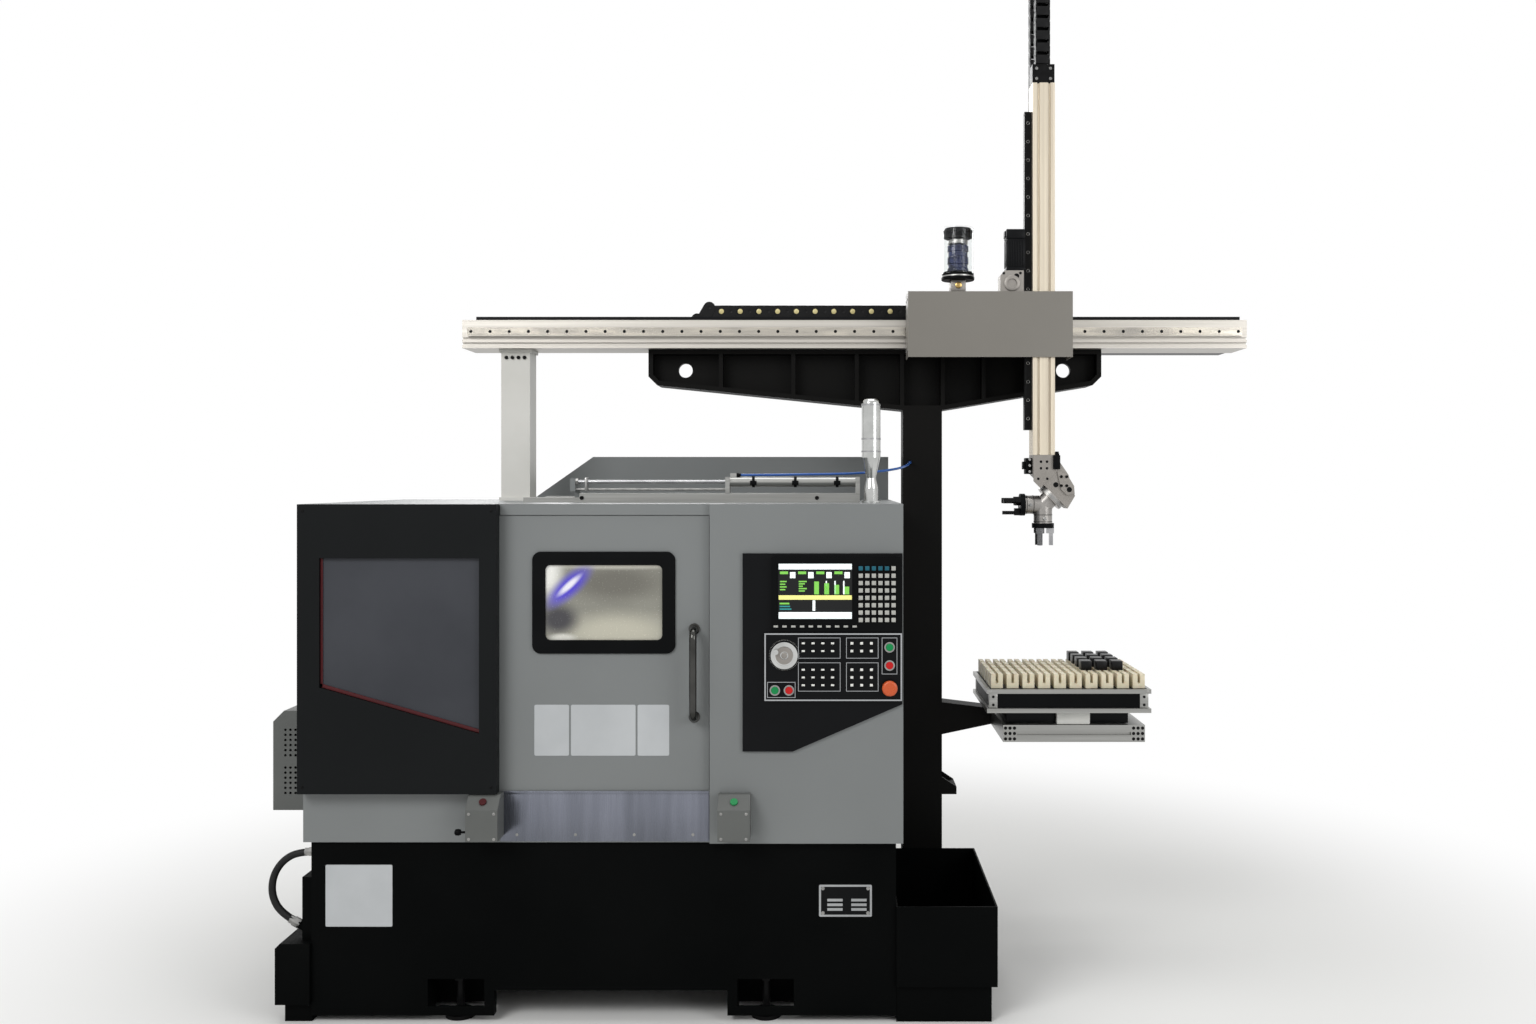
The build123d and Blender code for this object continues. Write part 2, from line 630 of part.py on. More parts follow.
with BuildPart() as operator_panel:
    desk_mid = ((DESK_LEFT + DESK_RIGHT) / 2, (DESK_BOTTOM + DESK_TOP) / 2)
    desk_size = (DESK_RIGHT - DESK_LEFT, DESK_TOP - DESK_BOTTOM)
    with BuildSketch(front(FASCIA_FACE)):
        with Locations(desk_mid):
            Rectangle(*desk_size)
    extrude(amount=DESK_T)
    with BuildSketch(front(DESK_FACE)):
        with Locations(desk_mid):
            Rectangle(*desk_size)
            Rectangle(desk_size[0] - 2 * DESK_RIM, desk_size[1] - 2 * DESK_RIM, mode=Mode.SUBTRACT)
    extrude(amount=DESK_RIM_T)
    with BuildSketch(front(DESK_FACE)):
        for block_at, columns, rows in zip(DESK_BLOCKS, DESK_COLUMNS, DESK_ROWS):
            with Locations(block_at):
                with GridLocations(DESK_KEY_PITCH_X, DESK_KEY_PITCH_Z, columns, rows):
                    Rectangle(DESK_KEY, DESK_KEY)
    extrude(amount=DESK_KEY_T)
    with BuildSketch(front(DESK_FACE)):
        with Locations(*SMALL_BUTTONS):
            Circle(COLLAR_D / 2)
        with Locations(STOP_AT):
            Circle(STOP_COLLAR_D / 2)
    extrude(amount=COLLAR_T)
    with BuildSketch(front(DESK_FACE + BUTTON_DEEP)):
        with Locations(*SMALL_BUTTONS):
            Circle(CAP_D / 2 + RUN_GAP)
        with Locations(STOP_AT):
            Circle(STEM_D / 2 + RUN_GAP)
        with Locations(WHEEL_AT):
            Circle(WHEEL_STEM_D / 2 + FIT_GAP)
    extrude(amount=BUTTON_DEEP + COLLAR_T + OVERRUN, mode=Mode.SUBTRACT)
save(operator_panel.part, "operator_panel")

# Push buttons: a flat cap that runs in its collar
CAP_PROUD = 5
PRESS = 4
PRESS_SPARE = 1
PRESS_ROOM = PRESS + PRESS_SPARE
for button_name, button_at in (
    ("cycle_start_button", START_AT),
    ("feed_hold_button", HOLD_AT),
    ("power_on_button", POWER_ON_AT),
    ("power_off_button", POWER_OFF_AT),
):
    with BuildPart() as push_button:
        turned(
            front(DESK_FACE + BUTTON_DEEP - PRESS_ROOM),
            button_at,
            CAP_D,
            BUTTON_DEEP - PRESS_ROOM + COLLAR_T + CAP_PROUD,
        )
        chamfer(push_button.edges().group_by(Axis.Y)[0], CAP_PROUD / 4)
    save(push_button.part, button_name)

# Emergency stop: a mushroom head on a stem that runs in its collar
STOP_HEAD_D = 46
STOP_HEAD_T = 14
STOP_LIFT = PRESS + PRESS_SPARE
with BuildPart() as emergency_stop:
    stem_l = BUTTON_DEEP - PRESS_ROOM + COLLAR_T + STOP_LIFT
    turned(front(DESK_FACE + BUTTON_DEEP - PRESS_ROOM), STOP_AT, STEM_D, stem_l)
    turned(front(DESK_FACE - COLLAR_T - STOP_LIFT), STOP_AT, STOP_HEAD_D, STOP_HEAD_T)
    fillet(emergency_stop.edges().group_by(Axis.Y)[0], STOP_HEAD_T / 2)
save(emergency_stop.part, "emergency_stop")

# Handwheel: a dished pulse wheel with a turned crank knob, on a stem in the operator panel
WHEEL_T = 12
WHEEL_LIFT = 2
WHEEL_DISH = 4
WHEEL_RIM = 9
KNOB_D = 15
KNOB_H = 20
KNOB_OFF = 24
with BuildPart() as handwheel:
    turned(front(DESK_FACE + BUTTON_DEEP), WHEEL_AT, WHEEL_STEM_D, BUTTON_DEEP + WHEEL_LIFT)
    turned(front(DESK_FACE - WHEEL_LIFT), WHEEL_AT, WHEEL_D, WHEEL_T)
    wheel_face = DESK_FACE - WHEEL_LIFT - WHEEL_T
    turned(front(wheel_face + WHEEL_DISH), WHEEL_AT, WHEEL_D - 2 * WHEEL_RIM, WHEEL_T, Mode.SUBTRACT)
    knob_at = (WHEEL_AT[0] - KNOB_OFF, WHEEL_AT[1] + KNOB_OFF / 2)
    turned(front(wheel_face + WHEEL_DISH), knob_at, KNOB_D, KNOB_H)
save(handwheel.part, "handwheel")

# Two button boxes low on the front: a folded case with a sloped top face that carries one button
BOX_W = 95
BOX_BOTTOM = 567
BOX_TOP = 698
BOX_BROW = 40
BOX_SLOPE_Z = 660
LEFT_BOX_X = -345
RIGHT_BOX_X = 397
BOX_SEATS = [(LEFT_BOX_X, 0), (RIGHT_BOX_X, -PANEL_T)]
slope_mid = (-(BOX_OUT + BOX_BROW) / 2, (BOX_SLOPE_Z + BOX_TOP) / 2)
slope_run = (BOX_OUT - BOX_BROW, BOX_TOP - BOX_SLOPE_Z)
slope_length = sqrt(slope_run[0] ** 2 + slope_run[1] ** 2)
SLOPE_NORMAL = (0, -slope_run[1] / slope_length, slope_run[0] / slope_length)
with BuildPart() as button_boxes:
    for box_x, seat_y in BOX_SEATS:
        box_outline = [
            (seat_y, BOX_BOTTOM),
            (seat_y, BOX_TOP),
            (-BOX_BROW, BOX_TOP),
            (-BOX_OUT, BOX_SLOPE_Z),
            (-BOX_OUT, BOX_BOTTOM),
        ]
        prism(side(box_x - BOX_W / 2), box_outline, BOX_W)
        slope_plane = Plane(origin=(box_x, *slope_mid), x_dir=(1, 0, 0), z_dir=SLOPE_NORMAL)
        bore_d = CAP_D + 2 * RUN_GAP
        turned(slope_plane.offset(-BUTTON_DEEP), (0, 0), bore_d, BUTTON_DEEP + OVERRUN, Mode.SUBTRACT)
save(button_boxes.part, "button_boxes")

for button_name, box_x in (("left_box_button", LEFT_BOX_X), ("right_box_button", RIGHT_BOX_X)):
    with BuildPart() as box_button:
        slope_plane = Plane(origin=(box_x, *slope_mid), x_dir=(1, 0, 0), z_dir=SLOPE_NORMAL)
        turned(
            slope_plane.offset(PRESS_ROOM - BUTTON_DEEP),
            (0, 0),
            CAP_D,
            BUTTON_DEEP - PRESS_ROOM + CAP_PROUD,
        )
    save(box_button.part, button_name)

# Headstock on the bed ways: a foot and a round barrel about the spindle bore
HEAD_L = 300
HEAD_W = 290
HEAD_BARREL_D = 250
SPINDLE_D = 110
SPINDLE_OFF_Y = SPINDLE_Y - BED_MID[0]
SPINDLE_OFF_Z = SPINDLE_Z - BED_MID[1]
SPINDLE_U = SPINDLE_OFF_Y * BED_COS + SPINDLE_OFF_Z * BED_SIN
SPINDLE_V = SPINDLE_OFF_Z * BED_COS - SPINDLE_OFF_Y * BED_SIN
HEAD_RIGHT = BED_LEFT + HEAD_L
SPINDLE_AT = (SPINDLE_Y, SPINDLE_Z)
head_plane = Plane(origin=(BED_LEFT, *BED_MID), x_dir=(0, BED_COS, BED_SIN), z_dir=(1, 0, 0))
with BuildPart() as headstock:
    with BuildSketch(head_plane):
        with Locations((0, (WAY_H + SPINDLE_V) / 2)):
            Rectangle(HEAD_W, SPINDLE_V - WAY_H)
        with Locations((SPINDLE_U, SPINDLE_V)):
            Circle(HEAD_BARREL_D / 2)
            Circle(SPINDLE_D / 2 + FIT_GAP, mode=Mode.SUBTRACT)
    extrude(amount=HEAD_L)
save(headstock.part, "headstock")

# Spindle and three-jaw chuck, turned about one bore
CHUCK_D = 200
CHUCK_L = 110
CHUCK_BORE = 50
SPINDLE_TAIL = 30
CHUCK_JAW_R = 58
CHUCK_JAW_L = 62
CHUCK_JAW_W = 34
CHUCK_JAW_T = 36
with BuildPart() as chuck:
    tail_x = BED_LEFT - SPINDLE_TAIL
    chuck_x = HEAD_RIGHT + RUN_GAP
    turned(side(tail_x), SPINDLE_AT, SPINDLE_D, chuck_x - tail_x)
    turned(side(chuck_x), SPINDLE_AT, CHUCK_D, CHUCK_L)
    with BuildSketch(side(chuck_x + CHUCK_L)):
        with Locations(SPINDLE_AT):
            with PolarLocations(CHUCK_JAW_R, 3):
                Rectangle(CHUCK_JAW_L, CHUCK_JAW_W)
    extrude(amount=CHUCK_JAW_T)
    turned(side(tail_x), SPINDLE_AT, CHUCK_BORE, chuck_x - tail_x + CHUCK_L, Mode.SUBTRACT)
save(chuck.part, "chuck")

# Saddle on the bed ways with two cross ways, and the cross slide with its three gang tools
SADDLE_X = 220
SADDLE_L = 320
SADDLE_W = 300
SADDLE_T = 50
CROSS_WAY_W = 34
CROSS_WAY_H = 16
CROSS_WAY_SPREAD = 190
CROSS_L = 260
CROSS_W = 240
CROSS_T = 40
TOOL_L = 110
TOOL_W = 50
TOOL_PITCH = 78
TOOL_RISE = 20
SHANK_W = 16
SHANK_OUT = 40
SADDLE_V = WAY_H + RUN_GAP
CROSS_WAY_V = SADDLE_V + SADDLE_T
CROSS_V = CROSS_WAY_V + CROSS_WAY_H + RUN_GAP
TOOL_V = CROSS_V + CROSS_T
with BuildPart() as saddle:
    with BuildSketch(bed_plane.offset(SADDLE_V)):
        with Locations((SADDLE_X, 0)):
            Rectangle(SADDLE_L, SADDLE_W)
    extrude(amount=SADDLE_T)
    with BuildSketch(bed_plane.offset(CROSS_WAY_V)):
        with Locations((SADDLE_X, 0)):
            with GridLocations(CROSS_WAY_SPREAD, 0, 2, 1):
                Rectangle(CROSS_WAY_W, SADDLE_W)
    extrude(amount=CROSS_WAY_H)
save(saddle.part, "saddle")

with BuildPart() as cross_slide:
    with BuildSketch(bed_plane.offset(CROSS_V)):
        with Locations((SADDLE_X, 0)):
            Rectangle(CROSS_L, CROSS_W)
    extrude(amount=CROSS_T)
    with BuildSketch(bed_plane.offset(TOOL_V)):
        with Locations((SADDLE_X, 0)):
            with GridLocations(0, TOOL_PITCH, 1, 3):
                Rectangle(TOOL_L, TOOL_W)
    extrude(amount=SPINDLE_V + TOOL_RISE - TOOL_V)
    with BuildSketch(bed_plane.offset(SPINDLE_V - SHANK_W / 2)):
        with Locations((SADDLE_X - (TOOL_L + SHANK_OUT) / 2, 0)):
            with GridLocations(0, TOOL_PITCH, 1, 3):
                Rectangle(SHANK_OUT, SHANK_W)
    extrude(amount=SHANK_W)
save(cross_slide.part, "cross_slide")

# Roof hatch: a sheet that slides right between two lipped rails, drawn by an arm from the rod
HATCH_MARGIN = 20
HATCH_T = 8
HATCH_TRAVEL = 400
RAIL_W = 20
RAIL_LIP = 8
RAIL_LIP_T = 7
ARM_X = -142
ARM_T = 16
ARM_FOOT = 30
ARM_BOTTOM = 1596
ROD_D = 12
ROD_Y = 277
ROD_Z = 1626
BAR_D = 30
BAR_LEFT = -120
BAR_TOP = 1590
BARREL_D = 32
BARREL_BORE = 22
BARREL_LEFT = 347
BARREL_RIGHT = 777
BARREL_CAP = 6
MOUNT_L = 14
MOUNT_W = 40
PORT_L = 20
PORT_OFF = 15
ROD_IN = 22
HATCH_X = (ROOF_HOLE_X[0] - HATCH_MARGIN, ROOF_HOLE_X[1] + HATCH_MARGIN)
HATCH_Y = (ROOF_HOLE_Y[0] - HATCH_MARGIN, ROOF_HOLE_Y[1] + HATCH_MARGIN)
HATCH_BOTTOM = ENCLOSURE_TOP + RUN_GAP
HATCH_TOP = HATCH_BOTTOM + HATCH_T
BARREL_TOP = ROD_Z + BARREL_D / 2
ARM_SPAN = (ARM_X - ARM_T / 2, ARM_X + ARM_T / 2)
with BuildPart() as roof_hatch:
    block(HATCH_X, HATCH_Y, (HATCH_BOTTOM, HATCH_TOP))
    arm_back = HATCH_Y[0] + RAIL_LIP + ARM_FOOT
    block(ARM_SPAN, (arm_back - ARM_FOOT + RAIL_LIP, arm_back), (HATCH_TOP, ARM_BOTTOM))
    block(ARM_SPAN, (ROD_Y - ROD_D, arm_back), (ARM_BOTTOM, ROD_Z + ROD_D))
save(roof_hatch.part, "roof_hatch")

with BuildPart() as cylinder_rod:
    turned(side(ARM_SPAN[1]), (ROD_Y, ROD_Z), ROD_D, BARREL_LEFT + ROD_IN - ARM_SPAN[1])
save(cylinder_rod.part, "cylinder_rod")

# Roof slide: the two hatch rails, the flat bar, and the air cylinder on its two mounts
with BuildPart() as roof_slide:
    lip_z = HATCH_TOP + RUN_GAP
    rail_length = HATCH_X[1] - HATCH_X[0] + HATCH_TRAVEL
    for edge_y, outward in ((HATCH_Y[0] - RUN_GAP, -1), (HATCH_Y[1] + RUN_GAP, 1)):
        rail_outline = [
            (edge_y, ENCLOSURE_TOP),
            (edge_y + outward * RAIL_W, ENCLOSURE_TOP),
            (edge_y + outward * RAIL_W, lip_z + RAIL_LIP_T),
            (edge_y - outward * RAIL_LIP, lip_z + RAIL_LIP_T),
            (edge_y - outward * RAIL_LIP, lip_z),
            (edge_y, lip_z),
        ]
        prism(side(HATCH_X[0]), rail_outline, rail_length)
    bar_y = (ROD_Y - BAR_D / 2, ROD_Y + BAR_D / 2)
    block((BAR_LEFT, BARREL_RIGHT), bar_y, (ENCLOSURE_TOP, BAR_TOP))
    for mount_x in (BARREL_LEFT, BARREL_RIGHT - MOUNT_L):
        mount_y = (ROD_Y - MOUNT_W / 2, ROD_Y + MOUNT_W / 2)
        block((mount_x, mount_x + MOUNT_L), mount_y, (BAR_TOP, BARREL_TOP))
    turned(side(BARREL_LEFT), (ROD_Y, ROD_Z), BARREL_D, BARREL_RIGHT - BARREL_LEFT)
    port_x = BARREL_LEFT + PORT_OFF
    block((port_x, port_x + PORT_L), (ROD_Y - ROD_D / 2, ROD_Y + ROD_D / 2), (ROD_Z, BARREL_TOP + ROD_D))
    bore_l = BARREL_RIGHT - BARREL_LEFT - 2 * BARREL_CAP
    turned(side(BARREL_LEFT + BARREL_CAP), (ROD_Y, ROD_Z), BARREL_BORE, bore_l, Mode.SUBTRACT)
    rod_hole = ROD_D + 2 * RUN_GAP
    turned(side(BARREL_LEFT - OVERRUN), (ROD_Y, ROD_Z), rod_hole, 2 * OVERRUN, Mode.SUBTRACT)
save(roof_slide.part, "roof_slide")

# Signal lamp: flange, post, flared neck and a long domed lens, all turned
LAMP_X = 812
LAMP_Y = 235
LAMP_FLANGE_D = 60
LAMP_FLANGE_T = 6
LAMP_POST_D = 45
LAMP_POST_TOP = 1606
LAMP_NECK_D = 30
LAMP_NECK_Z = 1638
LAMP_LENS_D = 60
LAMP_LENS_Z = 1703
LAMP_DOME_H = 16
LAMP_TOP = 1890
lamp_plane = Plane(origin=(LAMP_X, LAMP_Y, 0), x_dir=(1, 0, 0), z_dir=(0, -1, 0))
with BuildPart() as signal_lamp:
    with BuildSketch(lamp_plane):
        with BuildLine():
            Polyline(
                (0, LAMP_TOP),
                (0, ENCLOSURE_TOP),
                (LAMP_FLANGE_D / 2, ENCLOSURE_TOP),
                (LAMP_FLANGE_D / 2, ENCLOSURE_TOP + LAMP_FLANGE_T),
                (LAMP_POST_D / 2, ENCLOSURE_TOP + LAMP_FLANGE_T),
                (LAMP_POST_D / 2, LAMP_POST_TOP),
                (LAMP_NECK_D / 2, LAMP_NECK_Z),
                (LAMP_LENS_D / 2, LAMP_LENS_Z),
                (LAMP_LENS_D / 2, LAMP_TOP),
                close=True,
            )
        make_face()
    revolve(axis=Axis((LAMP_X, LAMP_Y, 0), (0, 0, 1)))
    fillet(signal_lamp.edges().group_by(Axis.Z)[-1], LAMP_DOME_H)
save(signal_lamp.part, "signal_lamp")

# Air hose: from the port of the cylinder along its barrel and back to the gantry column
AIR_HOSE_D = 8
AIR_RISE = 22
AIR_PORT_IN = 23
AIR_END_Z = 1694
AIR_START = (BARREL_LEFT + PORT_OFF + PORT_L, ROD_Y, ROD_Z + AIR_RISE)
AIR_END = (COLUMN_LEFT + AIR_PORT_IN, COLUMN_FRONT, AIR_END_Z)
AIR_SHARES = [
    (0, 0, 0),
    (0.166, 0, 0),
    (0.351, -0.005, 0.043),
    (0.533, 0.005, 0.065),
    (0.692, 0.04, 0.13),
    (0.83, 0.142, 0.304),
    (0.927, 0.34, 0.522),
    (0.974, 0.576, 0.761),
    (1, 0.804, 1),
    (1, 1, 1),
]
AIR_HOSE_ROUTE = [
    tuple(first + share * (last - first) for first, last, share in zip(AIR_START, AIR_END, shares))
    for shares in AIR_SHARES
]
save(cord_tube(AIR_HOSE_ROUTE, AIR_HOSE_D, "air_hose"), "air_hose")

# Support post: a square tube from the roof to the left part of the beam, with a foot and a head plate
POST_LEFT = -462
POST_W = 100
POST_D = 100
POST_PLATE_T = 12
POST_PLATE_OUT = 6
BEAM_MID_Y = BEAM_FRONT + BEAM_D / 2
with BuildPart() as support_post:
    post_x = (POST_LEFT, POST_LEFT + POST_W)
    post_y = (BEAM_MID_Y - POST_D / 2, BEAM_MID_Y + POST_D / 2)
    block(post_x, post_y, (ENCLOSURE_TOP, BEAM_BOTTOM))
    plate_x = (post_x[0] - POST_PLATE_OUT, post_x[1] + POST_PLATE_OUT)
    plate_y = (post_y[0] - POST_PLATE_OUT, post_y[1] + POST_PLATE_OUT)
    for plate_z in (ENCLOSURE_TOP, BEAM_BOTTOM - POST_PLATE_T):
        block(plate_x, plate_y, (plate_z, plate_z + POST_PLATE_T))
save(support_post.part, "support_post")

# Gantry column: a square tube on a floor plate, with a bolted flange, its gussets and the tray arm
COLUMN_W = 136
COLUMN_D = 130
COLUMN_TOP = 1876
FLOOR_PLATE_OUT = 47
FLOOR_PLATE_BACK = 120
FLOOR_PLATE_T = 20
FLANGE_Z = 536
FLANGE_T = 26
FLANGE_OUT = 51
GUSSET_H = 34
GUSSET_T = 12
TRAY_ARM_D = 90
TRAY_ARM_TOP = 857
TRAY_ARM_BOTTOM = 745
TRAY_ARM_END_TOP = 836
TRAY_ARM_END_BOTTOM = 781
TRAY_ARM_L = 171
COLUMN_RIGHT = COLUMN_LEFT + COLUMN_W
TRAY_FRAME_LEFT = COLUMN_RIGHT + TRAY_ARM_L
COLUMN_BACK = COLUMN_FRONT + COLUMN_D
with BuildPart() as gantry_column:
    column_y = (COLUMN_FRONT, COLUMN_BACK)
    block((COLUMN_LEFT, COLUMN_RIGHT), column_y, (0, COLUMN_TOP))
    floor_x = (COLUMN_LEFT - FLOOR_PLATE_OUT, COLUMN_RIGHT + FLOOR_PLATE_OUT)
    block(floor_x, (COLUMN_FRONT, COLUMN_BACK + FLOOR_PLATE_BACK), (0, FLOOR_PLATE_T))
    block((COLUMN_LEFT, COLUMN_RIGHT + FLANGE_OUT), column_y, (FLANGE_Z, FLANGE_Z + FLANGE_T))
    gusset_outline = [
        (COLUMN_RIGHT, FLANGE_Z + FLANGE_T),
        (COLUMN_RIGHT + FLANGE_OUT, FLANGE_Z + FLANGE_T),
        (COLUMN_RIGHT, FLANGE_Z + FLANGE_T + GUSSET_H),
    ]
    prism(front(COLUMN_FRONT + GUSSET_T), gusset_outline, GUSSET_T)
    prism(front(COLUMN_BACK), gusset_outline, GUSSET_T)
    arm_outline = [
        (COLUMN_RIGHT, TRAY_ARM_BOTTOM),
        (COLUMN_RIGHT, TRAY_ARM_TOP),
        (TRAY_FRAME_LEFT, TRAY_ARM_END_TOP),
        (TRAY_FRAME_LEFT, TRAY_ARM_END_BOTTOM),
    ]
    prism(front(COLUMN_FRONT + TRAY_ARM_D), arm_outline, TRAY_ARM_D)
save(gantry_column.part, "gantry_column")

# Gantry arm: a ribbed girder on the column, deep in the middle, with a lightening hole near each end
ARM_LEFT = 49
ARM_RIGHT = 1629
ARM_END_Z = 1963
ARM_CORNER = 30
ARM_FLANGE = 16
ARM_WEB = 24
ARM_RIB = 14
ARM_HOLE_D = 50
ARM_HOLE_Z = 2018
ARM_HOLE_INSET = 124
ARM_RIB_SHARES = (0.16, 0.32, 0.46, 0.56, 0.65, 0.74, 0.84)
with BuildPart() as gantry_arm:
    girder_outline = [
        (ARM_LEFT, BEAM_BOTTOM),
        (ARM_LEFT, ARM_END_Z + ARM_CORNER),
        (ARM_LEFT + ARM_CORNER, ARM_END_Z),
        (COLUMN_LEFT, COLUMN_TOP),
        (COLUMN_RIGHT, COLUMN_TOP),
        (ARM_RIGHT - ARM_CORNER, ARM_END_Z),
        (ARM_RIGHT, ARM_END_Z + ARM_CORNER),
        (ARM_RIGHT, BEAM_BOTTOM),
    ]
    prism(front(COLUMN_BACK), girder_outline, COLUMN_D)
    pocket_t = (COLUMN_D - ARM_WEB) / 2
    with BuildSketch(front(COLUMN_FRONT + pocket_t)) as pockets:
        with BuildLine():
            Polyline(*girder_outline, close=True)
        make_face()
        offset(amount=-ARM_FLANGE, kind=Kind.INTERSECTION)
        for rib_share in ARM_RIB_SHARES:
            with Locations((ARM_LEFT + rib_share * (ARM_RIGHT - ARM_LEFT), ARM_HOLE_Z)):
                Rectangle(ARM_RIB, BEAM_BOTTOM - COLUMN_TOP + ARM_HOLE_Z - COLUMN_TOP, mode=Mode.SUBTRACT)
    extrude(amount=pocket_t + OVERRUN, mode=Mode.SUBTRACT)
    back_pockets = pockets.sketch.moved(Location((0, COLUMN_BACK + OVERRUN - COLUMN_FRONT - pocket_t, 0)))
    extrude(back_pockets, amount=pocket_t + OVERRUN, mode=Mode.SUBTRACT)
    for hole_x in (ARM_LEFT + ARM_HOLE_INSET, ARM_RIGHT - ARM_HOLE_INSET):
        turned(front(COLUMN_BACK), (hole_x, ARM_HOLE_Z), ARM_HOLE_D, COLUMN_D, Mode.SUBTRACT)
save(gantry_arm.part, "gantry_arm")

# Gantry beam: an extruded profile with two slots along its front and a ground rail above them
SLOT_W = 8
SLOT_DEEP = 10
SLOT_SHARES = (0.16, 0.34)
X_RAIL_H = 30
X_RAIL_T = 15
X_RAIL_Z = 2143
RAIL_END = 20
BEAM_TOP = BEAM_BOTTOM + BEAM_H
with BuildPart() as beam:
    block((BEAM_LEFT, BEAM_RIGHT), (BEAM_FRONT, BEAM_FRONT + BEAM_D), (BEAM_BOTTOM, BEAM_TOP))
    beam_cut_x = (BEAM_LEFT - OVERRUN, BEAM_RIGHT + OVERRUN)
    for slot_share in SLOT_SHARES:
        slot_z = BEAM_BOTTOM + slot_share * BEAM_H
        block(
            beam_cut_x,
            (BEAM_FRONT - OVERRUN, BEAM_FRONT + SLOT_DEEP),
            (slot_z - SLOT_W / 2, slot_z + SLOT_W / 2),
            Mode.SUBTRACT,
        )
    rail_x = (BEAM_LEFT + RAIL_END, BEAM_RIGHT - RAIL_END)
    x_rail_z = (X_RAIL_Z - X_RAIL_H / 2, X_RAIL_Z + X_RAIL_H / 2)
    block(rail_x, (BEAM_FRONT - X_RAIL_T, BEAM_FRONT), x_rail_z)
save(beam.part, "beam")

# Lipped trough on the back of the beam that the chain lies in
CHAIN_H = 45
CHAIN_W = 60
CHAIN_R = 62
CHAIN_SIDE = 10
TROUGH_T = 4
TROUGH_LEFT = 100
TROUGH_RIGHT = 2100
TROUGH_LIP_TOP = 2200
BEAM_BACK = BEAM_FRONT + BEAM_D
CHAIN_Y = (BEAM_BACK + CHAIN_SIDE, BEAM_BACK + CHAIN_SIDE + CHAIN_W)
TROUGH_BACK = CHAIN_Y[1] + CHAIN_SIDE + TROUGH_T
TROUGH_FLOOR = BEAM_BOTTOM + TROUGH_T
with BuildPart() as chain_trough:
    trough_x = (TROUGH_LEFT, TROUGH_RIGHT)
    block(trough_x, (BEAM_BACK, TROUGH_BACK), (BEAM_BOTTOM, TROUGH_FLOOR))
    block(trough_x, (TROUGH_BACK - TROUGH_T, TROUGH_BACK), (BEAM_BOTTOM, TROUGH_LIP_TOP))
save(chain_trough.part, "chain_trough")

# Drag chains: a core that folds back on itself round a half turn, with a plate on each link
LINK_PITCH = 44
LINK_L = 36
LINK_PROUD = 3
LINK_SINK = 4
BEND_LINKS = 5


def drag_chain(plane, width, bend_at, fixed_end, moving_end, moving_side):
    """One folded chain in the plane, with the bend at its low end and its two runs going up from it."""
    bend_a, bend_b = bend_at
    core = CHAIN_H / 2 - LINK_SINK
    far_end = max(fixed_end, moving_end)
    with BuildSketch(plane.offset(LINK_PROUD)) as body:
        with Locations(bend_at):
            Circle(CHAIN_R + core)
        for run_side, end in ((-moving_side, fixed_end), (moving_side, moving_end)):
            with Locations(((bend_a + end) / 2, bend_b + run_side * (CHAIN_R + core) / 2)):
                Rectangle(end - bend_a, CHAIN_R + core)
        with Locations(bend_at):
            Circle(CHAIN_R - core, mode=Mode.SUBTRACT)
        with Locations(((bend_a + far_end + OVERRUN) / 2, bend_b)):
            Rectangle(far_end + OVERRUN - bend_a, 2 * (CHAIN_R - core), mode=Mode.SUBTRACT)
    extrude(body.sketch, amount=width - 2 * LINK_PROUD)
    with BuildSketch(plane) as plates:
        for run_side, end in ((-moving_side, fixed_end), (moving_side, moving_end)):
            for index in range(int((end - bend_a) / LINK_PITCH)):
                with Locations((end - LINK_L / 2 - index * LINK_PITCH, bend_b + run_side * CHAIN_R)):
                    Rectangle(LINK_L, CHAIN_H)
        for index in range(BEND_LINKS):
            turn = 90 + 180 * (index + 1) / (BEND_LINKS + 1)
            spot = (bend_a + CHAIN_R * cos(radians(turn)), bend_b + CHAIN_R * sin(radians(turn)), 0)
            with Locations(Location(spot, (0, 0, turn + 90))):
                Rectangle(LINK_L, CHAIN_H)
    extrude(plates.sketch, amount=width)


X_BEND = 259
X_CHAIN_FIXED = 900
X_CHAIN_MOVING = 1000
CHAIN_LOW_Z = TROUGH_FLOOR + RUN_GAP + CHAIN_H / 2
CHAIN_TOP = CHAIN_LOW_Z + 2 * CHAIN_R + CHAIN_H / 2
with BuildPart() as x_cable_chain:
    bend_at = (X_BEND, CHAIN_LOW_Z + CHAIN_R)
    drag_chain(front(CHAIN_Y[1]), CHAIN_W, bend_at, X_CHAIN_FIXED, X_CHAIN_MOVING, 1)
save(x_cable_chain.part, "x_cable_chain")

# Carriage on the beam: a plate with two rail shoes, the guide of the upright beam and the chain shelf
COVER_LEFT = 942
COVER_W = 549
COVER_BOTTOM = 2042
COVER_H = 219
COVER_SHEET = 2
CARRIAGE_T = 15
CARRIAGE_BOTTOM = 2060
SHOE_L = 90
SHOE_INSET = 60
SHOE_WALL = 20
SHOE_SET = 25
SHOE_LAP = 13
SHELF_T = 8
SHELF_INSET = 18
SHELF_W = 480
Z_BEAM_LEFT = 1359
Z_BEAM_W = 74
Z_BEAM_D = 80
Z_BEAM_BOTTOM = 1716
Z_BEAM_TOP = 2959
Z_RAIL_T = 24
Z_RAIL_W = 30
Z_RAIL_BOTTOM = 1800
Z_RAIL_TOP = 2868
GUIDE_BOTTOM = 2080
GUIDE_TOP = 2240
GUIDE_W = 70
GUIDE_WALL = 35
GUIDE_GRIP = 17
CARRIAGE_BACK = BEAM_FRONT - X_RAIL_T - SHOE_SET
CARRIAGE_FRONT = CARRIAGE_BACK - CARRIAGE_T
